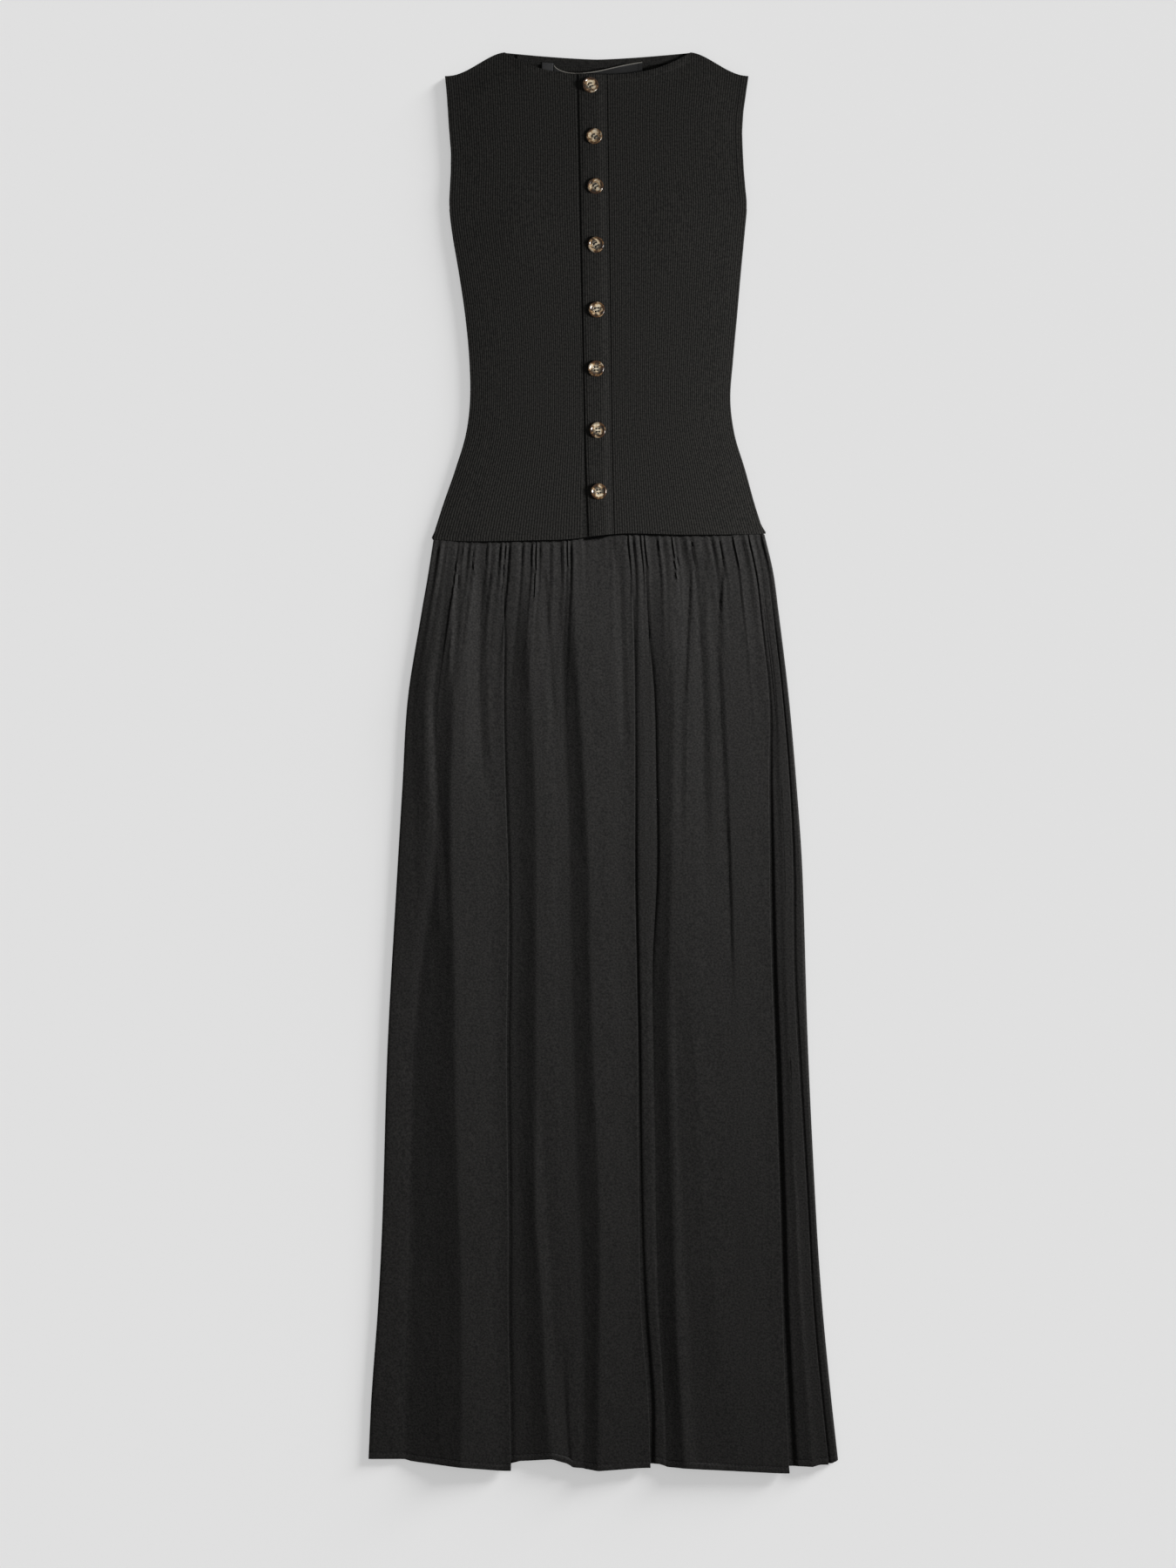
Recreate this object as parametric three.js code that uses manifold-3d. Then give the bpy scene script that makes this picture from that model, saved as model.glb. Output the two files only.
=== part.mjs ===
// A sleeveless maxi dress laid flat with its front up: a ribbed knit bodice with a buttoned placket, a
// dropped waist and a gathered satin skirt whose folds overlap. The back panels lie on the surface, the front
// panels lie on them. Millimetres. X runs to the right as the front is seen, Y towards the neck, Z up from
// the surface.
import * as THREE from "three";
import Module from "manifold-3d";

const wasm = await Module();
wasm.setup();

// Driving sizes.
const TOTAL_LENGTH = 1386;
const TOP_Y = TOTAL_LENGTH / 2;
const KNIT = 1.4;
const SATIN = 1.1;
const TAPE = 1.0;
const SEAM_GAP = 0.3;
const RIB_HEIGHT = 0.35;
const RIBS = { right: 54, placket: 12, left: 59 };
const PLACKET_WALL = 1.2;
const NECK = { centre: -5.5, half: 90.4, top: 1, frontDrop: 21.9, frontPower: 2.7, backDrop: 6.5, backPower: 1.4 };
const SHOULDER = { half: 148, drop: 23, bend: 1.7 };
const CROWN = { loft: 2.4, power: 6, bust: 1.2, bustAcross: 0.5, bustDown: 168, bustWide: 0.24, bustTall: 46 };
const NECK_LIFT = { height: 2.9, long: 60 };
const SHOULDER_FALL = { from: 68, over: 27, long: 34 };
const GATHERS = { count: 45, height: 1.9, atSeam: 0.5, startLong: 9, fade: 62 };
const CALM = { from: 0.43, to: 0.57, edge: 0.04 };
const HEM = { turn: 7, rise: 0.3 };
const SIDE_ROLL = { foot: 1.4, tall: 1.2, wide: 2.5 };
const LAYER = 2;
const WAIST_HEIGHT = 3.2;
const FOLD_GROWS_OVER = 190;

// The bodice's outline: how far down from the neck points, its middle line and its half width.
const BODICE = [
  { down: 24, centre: -6.4, half: 148 },
  { down: 42, centre: -6.8, half: 145.8 },
  { down: 70, centre: -7.6, half: 143.2 },
  { down: 104, centre: -6, half: 142.4 },
  { down: 130, centre: -5.6, half: 143.8 },
  { down: 149, centre: -5.1, half: 145 },
  { down: 175, centre: -4.8, half: 142.6 },
  { down: 216, centre: -3.3, half: 137.2 },
  { down: 255, centre: -2.1, half: 132.6 },
  { down: 300, centre: -2, half: 128.4 },
  { down: 340, centre: -3, half: 126.7 },
  { down: 374, centre: -3, half: 130.9 },
  { down: 408, centre: -3, half: 141.1 },
  { down: 442, centre: -4.2, half: 151.7 },
  { down: 474, centre: -4.2, half: 162 },
];

// The skirt's outline, from the waist seam to the hem.
const SKIRT = [
  { down: 474, centre: -4.2, half: 161.5 },
  { down: 510, centre: -2.8, half: 168.5 },
  { down: 544, centre: -3.4, half: 173.8 },
  { down: 629, centre: -5, half: 185.7 },
  { down: 714, centre: -3.8, half: 192.1 },
  { down: 799, centre: -3.4, half: 197.6 },
  { down: 969, centre: -5.4, half: 205 },
  { down: 1139, centre: -3.8, half: 211.7 },
  { down: 1224, centre: -3, half: 216.8 },
  { down: 1309, centre: -2, half: 224 },
  { down: 1372, centre: 0, half: 229 },
];

// The waist seam, which steps up where the placket is sewn in.
const WAIST = [
  { across: -164, down: 476.5 },
  { across: -131, down: 478 },
  { across: -66, down: 477 },
  { across: -34, down: 476 },
  { across: -8, down: 472.8 },
  { across: 22, down: 470.4 },
  { across: 80, down: 471.6 },
  { across: 158, down: 471 },
];

// The middle line and half width of the placket.
const PLACKET = [
  { down: 24, centre: -10.5, half: 14 },
  { down: 188, centre: -7.7, half: 13.6 },
  { down: 384, centre: -4.4, half: 13 },
  { down: 474, centre: -1.8, half: 12.4 },
];

// Buttons: how far down, how far from the placket's middle line, how they lean, and how they are turned.
const BUTTONS = [
  { down: 34, aside: -2.3, leanX: -9, leanY: 7, turn: 30 },
  { down: 83.7, aside: 0.8, leanX: -4, leanY: -6, turn: 52 },
  { down: 132.2, aside: 1, leanX: -5, leanY: -4, turn: 40 },
  { down: 189.1, aside: 0.5, leanX: 3, leanY: -3, turn: 38 },
  { down: 252.5, aside: 0.2, leanX: -2, leanY: 3, turn: 12 },
  { down: 309.8, aside: -1.4, leanX: 2, leanY: 2, turn: 2 },
  { down: 369.8, aside: -0.8, leanX: -3, leanY: -2, turn: 4 },
  { down: 429.3, aside: -1.4, leanX: 3, leanY: 2, turn: 10 },
];

// Levels at which the folds' places are given, down from the neck points.
const LEVELS = [493, 671, 1011, 1366];

// Folds of the skirt's front from left to right. Each starts in a crease, rises to a crest and runs on as a
// flat lip to the next crease. Places are percent of the width at each level. The overlap is how far the lip
// before it laps over the crease, negative where the cloth only dips. Heights are of the cloth's middle. Hems
// are distances down.
const FOLDS = [
  {
    name: "left side",
    crease: [0, 0, 0, 0],
    crest: [11.5, 12.2, 16.5, 19.5],
    overlap: [0, 0, 0, 0],
    low: 2.6, top: 8.4, hemStart: 1372.5, hemCrest: 1380, hemLip: 1383.6
  },
  {
    name: "left knife",
    crease: [21.5, 26, 29.1, 30.7],
    crest: [29.5, 33.3, 35.2, 38.5],
    overlap: [-12, 2, 8, 9],
    low: 2, top: 8, hemStart: 1374.5, hemCrest: 1372.2, hemLip: 1380
  },
  {
    name: "middle dip",
    crease: [39, 41.8, 44, 45.6],
    crest: [42.5, 45.8, 48.8, 49.5],
    overlap: [-10, -11, -12, -14],
    low: 2.6, top: 8, hemStart: 1381, hemCrest: 1383.4, hemLip: 1380.6
  },
  {
    name: "middle knife",
    crease: [60.3, 59.4, 60, 60.4],
    crest: [62, 61.9, 62.3, 62.8],
    overlap: [-8, 0, 7, 6],
    low: 2, top: 6.4, hemStart: 1376.8, hemCrest: 1378, hemLip: 1379
  },
  {
    name: "right groove",
    crease: [63.8, 64.8, 64.5, 64.5],
    crest: [67, 67.2, 67.7, 67.5],
    overlap: [-7, 2, -5, -6],
    low: 2.2, top: 7.8, hemStart: 1379.4, hemCrest: 1381, hemLip: 1386
  },
  {
    name: "right knife",
    crease: [95.2, 94.2, 92.8, 90.6],
    crest: [96.6, 95.9, 95, 93.4],
    overlap: [-6, 1, 8, 10],
    low: 2, top: 6.8, hemStart: 1379.2, hemCrest: 1379.8, hemLip: 1377.6
  },
  {
    name: "right side",
    crease: [98.4, 98.2, 98.2, 98],
    crest: [99.2, 99.1, 99.1, 99],
    overlap: [-2, 0.6, 2, -1],
    low: 2.2, top: 5, hemStart: 1376.6, hemCrest: 1375, hemLip: 1373.4
  },
];

const smoothstep = (t) => {
  const c = Math.min(1, Math.max(0, t));
  return c * c * (3 - 2 * c);
};
const mix = (a, b, t) => a + (b - a) * t;

// A smooth curve through the rows of a table: between two rows a cubic, whose slope at each row is that from
// the row before it to the row after it.
function follow(rows, given, wanted, at) {
  const last = rows.length - 1;
  if (at <= rows[0][given]) return rows[0][wanted];
  if (at >= rows[last][given]) return rows[last][wanted];
  let i = 0;
  while (rows[i + 1][given] < at) i++;
  const slope = (k) => {
    const a = rows[Math.max(0, k - 1)];
    const b = rows[Math.min(last, k + 1)];
    return (b[wanted] - a[wanted]) / (b[given] - a[given]);
  };
  const span = rows[i + 1][given] - rows[i][given];
  const t = (at - rows[i][given]) / span;
  const h = t * t * (3 - 2 * t);
  const bend = t * (1 - t) * span;
  return mix(rows[i][wanted], rows[i + 1][wanted], h) + bend * ((1 - t) * slope(i) - t * slope(i + 1));
}

// A fold's place or overlap at a distance down, from its values at the four levels.
const atLevel = (values, down) =>
  follow(LEVELS.map((level, i) => ({ level, value: values[i] })), "level", "value", down);

// The closed solid between an outer and an inner grid of points. Both have the same rows, from the neck to
// the hem, and each row runs left to right. A point has its place and how far along its row it comes, and two
// rows next to each other may have different numbers of points.
function wall(name, colour, roughness, outer, inner) {
  const position = [];
  const index = [];
  const placed = ({ at, along }) => ({ id: position.push(...at) / 3 - 1, along });
  const place = (grid) => grid.map((row) => row.map(placed));
  // Fills the band between two rows, taking each next point from the row where it comes first.
  const join = (near, far, turned) => {
    let [i, j] = [0, 0];
    while (i < near.length - 1 || j < far.length - 1) {
      const farDone = j === far.length - 1;
      const nearNext = farDone || (i < near.length - 1 && near[i + 1].along <= far[j + 1].along);
      const next = nearNext ? near[++i] : far[++j];
      const pair = nearNext ? [near[i - 1], far[j]] : [near[i], far[j - 1]];
      const corners = [...pair, next].map((p) => p.id);
      index.push(...(turned ? corners.reverse() : corners));
    }
  };
  const over = place(outer);
  const under = place(inner);
  for (let r = 0; r + 1 < over.length; r++) {
    join(over[r], over[r + 1], false);
    join(under[r], under[r + 1], true);
  }
  const column = (grid, c) => grid.map((row, r) => ({ id: row.at(c).id, along: r }));
  join(over[0], under[0], true);
  join(over.at(-1), under.at(-1), false);
  join(column(over, 0), column(under, 0), false);
  join(column(over, -1), column(under, -1), true);
  const geometry = new THREE.BufferGeometry();
  geometry.setAttribute("position", new THREE.Float32BufferAttribute(position, 3));
  geometry.setIndex(index);
  return named(name, geometry, colour, roughness);
}

function named(name, geometry, colour, roughness) {
  geometry.computeVertexNormals();
  const material = new THREE.MeshStandardMaterial({ color: colour, roughness, metalness: 0 });
  const mesh = new THREE.Mesh(geometry, material);
  mesh.name = name;
  return mesh;
}

// Shares from 0 to 1 in equal steps.
const steps = (count) => Array.from({ length: count + 1 }, (_, i) => i / count);

// How far down the upper edge is at a place across: the neck's curve, then the shoulder's slope.
function upperEdge(across, drop, power) {
  const out = Math.abs(across - NECK.centre);
  if (out < NECK.half) return NECK.top + drop * (1 - (out / NECK.half) ** power);
  const along = Math.min(1, (out - NECK.half) / (SHOULDER.half - NECK.half));
  return NECK.top + SHOULDER.drop * Math.sin((along * Math.PI) / 2) ** SHOULDER.bend;
}

const bodiceSide = (down, side) => {
  const at = Math.max(down, BODICE[0].down);
  return follow(BODICE, "down", "centre", at) + side * follow(BODICE, "down", "half", at);
};

// Height of the underside of the bodice's front: a low crown that falls to the sides and shoulders, a little
// fuller at the bust, and lifted at the neck where the label lies under it.
function frontUnderside(x, down) {
  const left = bodiceSide(down, -1);
  const right = bodiceSide(down, 1);
  const u = (2 * x - left - right) / (right - left);
  const across = 1 - Math.min(1, Math.abs(u)) ** CROWN.power;
  const edge = upperEdge(x, NECK.frontDrop, NECK.frontPower);
  const onShoulder = smoothstep((Math.abs(x - NECK.centre) - SHOULDER_FALL.from) / SHOULDER_FALL.over);
  const fromEdge = mix(1, smoothstep((down - edge) / SHOULDER_FALL.long), onShoulder);
  const bustAcross = (Math.abs(u) - CROWN.bustAcross) / CROWN.bustWide;
  const bustDown = (down - CROWN.bustDown) / CROWN.bustTall;
  const bust = CROWN.bust * Math.exp(-(bustAcross ** 2) - bustDown ** 2);
  const nearNeck = (1 - onShoulder) * (1 - smoothstep((down - edge) / NECK_LIFT.long));
  const loft = Math.max((CROWN.loft + bust) * across * fromEdge, NECK_LIFT.height * nearNeck);
  return KNIT + SEAM_GAP + loft;
}

// Rows of a bodice panel: closer where the outline bends.
const BODICE_ROWS = [0, 0.08, 0.2, 0.33, 0.47, 0.61, 0.74, 0.87, 1];

// A grid over the rows of a panel and its shares across, whose point function gives a place from both.
const gridOf = (rows, shares, point) =>
  rows.map((v) => shares.map((t, i) => ({ at: point(t, v, i), along: t })));

// A panel's place from the front: across it between its two side lines, down it between its upper edge and
// the seam.
function onPanel(leftLine, rightLine, upper, t, v) {
  const edge = upper(mix(leftLine(0), rightLine(0), t));
  const atSeam = mix(leftLine(TOTAL_LENGTH), rightLine(TOTAL_LENGTH), t);
  const down = mix(edge, follow(WAIST, "across", "down", atSeam) - SEAM_GAP, v);
  return { x: mix(leftLine(down), rightLine(down), t), down };
}

const frontNeck = (x) => upperEdge(x, NECK.frontDrop, NECK.frontPower);
const backNeck = (x) => upperEdge(x, NECK.backDrop, NECK.backPower);
const sideLine = (side) => (down) => bodiceSide(down, side);
const placketLine = (side, shift) => (down) =>
  follow(PLACKET, "down", "centre", down) + side * follow(PLACKET, "down", "half", down) + shift;

// A front with ribs along its outer face and a plain face inside. The share of it that goes under the placket
// has none.
function bodiceFront(name, leftLine, rightLine, ribs, ribbed) {
  const shares = steps(2 * ribs).map((t) => t * ribbed);
  if (ribbed < 1) shares.push((1 + ribbed) / 2, 1);
  const panel = (across, lift) =>
    gridOf(BODICE_ROWS, across, (t, v, i) => {
      const { x, down } = onPanel(leftLine, rightLine, frontNeck, t, v);
      return [x, TOP_Y - down, frontUnderside(x, down) + lift(t, i)];
    });
  const outer = panel(shares, (t, i) => KNIT + (i % 2 && t < ribbed ? RIB_HEIGHT : 0));
  return wall(name, "#292826", 0.9, outer, panel(steps(9), () => 0));
}

// The wearer's right front runs on under the placket as the button stand.
const STAND = { pastMiddle: 3, ribbed: 0.868, fallFrom: 0.19, fallTo: 0.81 };
function bodiceFronts() {
  const standLine = (down) => follow(PLACKET, "down", "centre", down) + STAND.pastMiddle;
  return [
    bodiceFront("bodice_front_right", sideLine(-1), standLine, RIBS.right, STAND.ribbed),
    bodiceFront("bodice_front_left", placketLine(1, SEAM_GAP), sideLine(1), RIBS.left, 1),
  ];
}

// The back lies flat on the surface from the back neck's edge to the waist seam.
function bodiceBack() {
  const panel = (height) =>
    gridOf(BODICE_ROWS, steps(20), (t, v) => {
      const { x, down } = onPanel(sideLine(-1), sideLine(1), backNeck, t, v);
      return [x, TOP_Y - down, height];
    });
  return wall("bodice_back", "#262523", 0.9, panel(KNIT), panel(0));
}

// Height of the placket's underside: it lies on the button stand, then comes down to the front that it is
// sewn to.
function placketUnderside(x, down) {
  const middle = follow(PLACKET, "down", "centre", down) + STAND.pastMiddle;
  const pastStand = (x - middle) / (follow(PLACKET, "down", "half", down) - STAND.pastMiddle);
  const onStand = 1 - smoothstep((pastStand - STAND.fallFrom) / (STAND.fallTo - STAND.fallFrom));
  return frontUnderside(x, down) + onStand * (KNIT + SEAM_GAP);
}

// The placket is a ribbed strip, free at its left edge and seamed to the wearer's left front at its right
// edge.
function placket() {
  const strip = (shares, lift) =>
    gridOf(BODICE_ROWS, shares, (t, v, i) => {
      const { x, down } = onPanel(placketLine(-1, 0), placketLine(1, 0), frontNeck, t, v);
      return [x, TOP_Y - down, placketUnderside(x, down) + lift(i)];
    });
  const outer = strip(steps(2 * RIBS.placket), (i) => PLACKET_WALL + (i % 2 ? RIB_HEIGHT : 0));
  return wall("placket", "#2b2a28", 0.9, outer, strip(steps(6), () => 0));
}

// The turned and stitched edge inside the back neck, which shows above the front neck.
function backNeckBand() {
  const band = { half: 78.6, wide: 8, inset: 0.6 };
  const strip = (height) =>
    gridOf([0, 1], steps(22), (t, v) => {
      const x = NECK.centre + (2 * t - 1) * band.half;
      return [x, TOP_Y - backNeck(x) - band.inset - band.wide * v, height];
    });
  const low = KNIT + SEAM_GAP;
  return wall("back_neck_band", "#232220", 0.95, strip(low + TAPE), strip(low));
}

// The plain satin label is sewn on at its two ends, and its upper edge sags between them.
const LABEL = { left: -48, right: 38, leftDown: 13.4, rightDown: 10.2, sag: 9, tall: 17 };
const LABEL_LOW = KNIT + TAPE + 2 * SEAM_GAP;
function neckLabel() {
  const strip = (height) =>
    gridOf([0, 1], steps(12), (t, v) => {
      const sag = LABEL.sag * Math.sin(Math.PI * t) ** 1.5;
      const down = mix(LABEL.leftDown, LABEL.rightDown, t) + sag * (1 - v) + LABEL.tall * v;
      return [mix(LABEL.left, LABEL.right, t), TOP_Y - down, height];
    });
  return wall("neck_label", "#0b0b0c", 0.35, strip(LABEL_LOW + TAPE), strip(LABEL_LOW));
}

// A small plain tab sewn in beside the label's left end.
const TAB = { left: -60, right: -48.6, down: 10.5, tall: 13 };
function sizeTab() {
  const strip = (height) =>
    gridOf([0, 1], [0, 1], (t, v) => [mix(TAB.left, TAB.right, t), TOP_Y - TAB.down - TAB.tall * v, height]);
  return wall("size_tab", "#4a4a4c", 0.5, strip(LABEL_LOW + TAPE), strip(LABEL_LOW));
}

// A four-hole button: a dished disc with a raised round rim, turned from a profile, with its holes cut
// through.
const BUTTON = { radius: 7.8, thick: 2.4, dish: 1.3, holeRadius: 0.85, holeFrom: 1.55, sides: 14 };
function buttonGeometry() {
  const { radius, thick, dish, sides } = BUTTON;
  const profile = [
    [0, 0],
    [radius * 0.72, 0],
    [radius * 0.97, thick * 0.4],
    [radius, thick * 0.72],
    [radius * 0.93, thick],
    [radius * 0.8, thick * 0.96],
    [radius * 0.66, dish],
    [0, dish],
  ].map(([r, z]) => new THREE.Vector2(r, z));
  const turned = new THREE.LatheGeometry(profile, sides);
  turned.rotateX(Math.PI / 2);
  let solid = solidOf(turned);
  for (const [sx, sy] of [[1, 1], [-1, 1], [-1, -1], [1, -1]]) {
    const pin = new THREE.CylinderGeometry(BUTTON.holeRadius, BUTTON.holeRadius, 4 * thick, 6);
    pin.rotateX(Math.PI / 2);
    pin.translate(sx * BUTTON.holeFrom, sy * BUTTON.holeFrom, 0);
    solid = solid.subtract(solidOf(pin));
  }
  const cut = solid.getMesh();
  const geometry = new THREE.BufferGeometry();
  geometry.setAttribute("position", new THREE.BufferAttribute(cut.vertProperties, 3));
  geometry.setIndex(new THREE.BufferAttribute(cut.triVerts, 1));
  return geometry;
}

// A manifold solid from a geometry, with vertices at the same place merged and collapsed faces left out.
function solidOf(geometry) {
  const source = geometry.index ? geometry.toNonIndexed() : geometry;
  const points = source.getAttribute("position");
  const seen = new Map();
  const vertices = [];
  const corners = [];
  for (let i = 0; i < points.count; i++) {
    const p = [points.getX(i), points.getY(i), points.getZ(i)];
    const key = p.map((value) => Math.round(value * 1e4)).join();
    if (!seen.has(key)) {
      seen.set(key, vertices.length / 3);
      vertices.push(...p);
    }
    corners.push(seen.get(key));
  }
  const faces = [];
  for (let i = 0; i < corners.length; i += 3) {
    const [a, b, c] = corners.slice(i, i + 3);
    if (a !== b && b !== c && c !== a) faces.push(a, b, c);
  }
  const vertProperties = new Float32Array(vertices);
  const triVerts = new Uint32Array(faces);
  return new wasm.Manifold(new wasm.Mesh({ numProp: 3, vertProperties, triVerts }));
}

// A button lies on the placket on its thread, with the gap that a seam has.
function button(number, { down, aside, leanX, leanY, turn }) {
  const x = follow(PLACKET, "down", "centre", down) + aside;
  const lean = Math.max(Math.abs(leanX), Math.abs(leanY));
  const rise = BUTTON.radius * 0.8 * Math.sin(THREE.MathUtils.degToRad(lean));
  const surface = placketUnderside(x, down) + PLACKET_WALL + RIB_HEIGHT;
  const mesh = named(`button_${number}`, buttonGeometry(), "#8a6f47", 0.25);
  mesh.rotation.set(...[leanX, leanY, turn].map(THREE.MathUtils.degToRad));
  mesh.position.set(x, TOP_Y - down, surface + SEAM_GAP + rise);
  return mesh;
}

// How much of a fold's form has grown at a distance down: none at the waist seam.
const grown = (down) => smoothstep((down - SKIRT[0].down) / FOLD_GROWS_OVER);

const skirtX = (percent, down) => {
  const centre = follow(SKIRT, "down", "centre", down);
  return centre + (percent / 50 - 1) * follow(SKIRT, "down", "half", down);
};

// The front's section at a distance down is a smooth curve over control points, left to right. Each has its
// place, its height, its distance down at the hem, and whether the span that starts there is close work.
function frontControls(down) {
  const g = grown(down);
  const edges = { left: skirtX(0, down) + SATIN / 2, right: skirtX(100, down) - SATIN / 2 };
  const point = (x, z, hem, close) => ({ x, z: mix(WAIST_HEIGHT, z, g), hem, close });
  const onEdge = (x, z, hem) => ({ x, z, hem, close: true });
  const places = FOLDS.map((fold, i) => ({
    crease: i ? skirtX(atLevel(fold.crease, down), down) : edges.left,
    crest: skirtX(atLevel(fold.crest, down), down),
    lap: atLevel(fold.overlap, down) / 2,
  }));
  const sections = FOLDS.map((fold, i) => {
    const { crest } = places[i];
    const after = FOLDS[i + 1];
    const next = after ? places[i + 1].crease : edges.right;
    const atCrease = () => creaseControls(FOLDS[i - 1], fold, places[i], point);
    const rise = i ? atCrease() : sideSlope(fold, edges.left, crest, point);
    return [...rise, ...crestControls(fold, crest, next, after, point)];
  });
  const [first, last] = [FOLDS[0].hemStart, FOLDS.at(-1).hemLip];
  return [
    onEdge(edges.left, SIDE_ROLL.foot, first),
    onEdge(edges.left, SIDE_ROLL.foot + SIDE_ROLL.tall, first),
    point(edges.left + SIDE_ROLL.wide, FOLDS[0].low + SIDE_ROLL.tall, first, true),
    ...sections.flat(),
    onEdge(edges.right, SIDE_ROLL.foot + SIDE_ROLL.tall, last),
    onEdge(edges.right, SIDE_ROLL.foot, last),
  ];
}

// A knife crease is a Z of three layers. It opens out to a dip where it overlaps by less than nothing.
function creaseControls(before, fold, { crease, crest, lap }, point) {
  const reach = Math.min(3, (crest - crease) / 3);
  const foot = Math.min(crease + Math.abs(lap) + reach / 2, mix(crease, crest, 0.6));
  const [top, middle, low] = [fold.low + 2 * LAYER, fold.low + LAYER, fold.low];
  return [
    point(crease + lap - reach, top, before.hemLip, true),
    point(crease + lap, top, before.hemLip, true),
    point(crease + lap, middle, before.hemLip, true),
    point(crease - lap, middle, fold.hemStart, true),
    point(crease - lap, low, fold.hemStart, true),
    point(foot, low, fold.hemStart, false),
  ];
}

// The first fold rises slowly from the left side.
function sideSlope(fold, left, crest, point) {
  const hem = (t) => mix(fold.hemStart, fold.hemCrest, t);
  return [
    point(mix(left, crest, 0.3), fold.low + SIDE_ROLL.tall / 2, hem(0.4), false),
    point(mix(left, crest, 0.66), mix(fold.low, fold.top, 0.42), hem(0.7), false),
  ];
}

// A crest turns within a few millimetres, and its lip comes down slowly to the height of the next crease's
// top layer.
function crestControls(fold, crest, next, after, point) {
  const turn = Math.min(1.5, (next - crest) / 6);
  const top = [
    point(crest - turn, fold.top - SEAM_GAP, fold.hemCrest, true),
    point(crest + turn, fold.top, fold.hemCrest, false),
  ];
  if (!after) return top;
  const lip = after.low + 2 * LAYER;
  return [
    ...top,
    point(mix(crest, next, 0.35), mix(fold.top, lip, 0.5), mix(fold.hemCrest, fold.hemLip, 0.5), false),
    point(mix(crest, next, 0.72), lip, mix(fold.hemCrest, fold.hemLip, 0.8), false),
  ];
}

// A point of the uniform cubic B-spline with these control points, whose ends are held.
function onSpline(points, span, t, key) {
  const at = (i) => points[Math.min(points.length - 1, Math.max(0, i))][key];
  const s = 1 - t;
  return (
    (s ** 3 * at(span - 1) +
      (3 * t ** 3 - 6 * t ** 2 + 4) * at(span) +
      (3 * s ** 3 - 6 * s ** 2 + 4) * at(span + 1) +
      t ** 3 * at(span + 2)) /
    6
  );
}

// The gathers' rounded ridges, with narrow creases between them. Two slow waves make them uneven in width, a
// third makes some of them die away sooner below the seam, and the middle of the front has almost none.
const WIDTH_WAVES = { slow: 61, slowBy: 0.35, quick: 137, quickBy: 0.22 };
const LENGTH_WAVE = { turn: 2.4, by: 0.45 };
const RIDGE = { sharp: 0.7, dying: 1.3, calmed: 0.8 };
function gather(share, below) {
  const slow = WIDTH_WAVES.slowBy * Math.sin(share * WIDTH_WAVES.slow);
  const quick = WIDTH_WAVES.quickBy * Math.sin(share * WIDTH_WAVES.quick + 1);
  const beat = share * GATHERS.count + slow + quick;
  const ridge = Math.abs(Math.sin(Math.PI * beat)) ** RIDGE.sharp;
  const long = GATHERS.fade * (1 + LENGTH_WAVE.by * Math.sin(Math.floor(beat) * LENGTH_WAVE.turn));
  const fromLeft = smoothstep((share - CALM.from) / CALM.edge);
  const fromRight = smoothstep((CALM.to - share) / CALM.edge);
  const lively = 1 - RIDGE.calmed * fromLeft * fromRight;
  const start = mix(GATHERS.atSeam, 1, smoothstep(below / GATHERS.startLong));
  return GATHERS.height * lively * ridge * start * Math.exp(-((below / long) ** RIDGE.dying));
}

// How far down the skirt its rows are, in its own length's share. The gathers have the first rows, which are
// closer.
const GATHER_ROWS = [0, 0.006, 0.017, 0.035, 0.062, 0.1];
const AT_HEM_TURN = 1 - HEM.turn / (TOTAL_LENGTH - SKIRT[0].down);
const FOLD_ROWS = [0.165, 0.25, 0.36, 0.49, 0.63, 0.77, 0.89, AT_HEM_TURN, 1];
// The longest step along the cloth's section, and the steps of a span of close work.
const FINE = { longest: 2, close: 1 };
const OUTER = { longest: 9, close: 2 };
const INNER = { longest: 16, close: 1 };
const HEM_LEVEL = TOTAL_LENGTH - 14;

// How many steps each span of the section gets.
function spanSteps({ longest, close }) {
  const levels = LEVELS.map((down) => frontControls(down));
  return levels[0].slice(0, -1).map((point, i) => {
    const wide = Math.max(...levels.map((points) => Math.abs(points[i + 1].x - points[i].x)));
    return Math.max(point.close ? close : 1, Math.round(wide / longest));
  });
}

function skirtFront() {
  const row = (v, counts, side) => {
    const down = mix(SKIRT[0].down, HEM_LEVEL, v);
    const points = frontControls(down);
    const alongs = counts.flatMap((count, span) => steps(count).slice(0, count).map((t) => span + t));
    return [...alongs, counts.length].map((along) => sectionPoint(points, down, v, along, side));
  };
  const grid = (atGathers, atFolds, side) => [
    ...GATHER_ROWS.map((v) => row(v, spanSteps(atGathers), side)),
    ...FOLD_ROWS.map((v) => row(v, spanSteps(atFolds), side)),
  ];
  return wall("skirt_front", "#2a2929", 0.55, grid(FINE, OUTER, 1), grid(INNER, INNER, -1));
}

// The seam's distance down at a place across the skirt, given from 0 at its left edge to 1 at its right.
const seamAt = (across) => follow(WAIST, "across", "down", mix(skirtX(0, 0), skirtX(100, 0), across));

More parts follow.
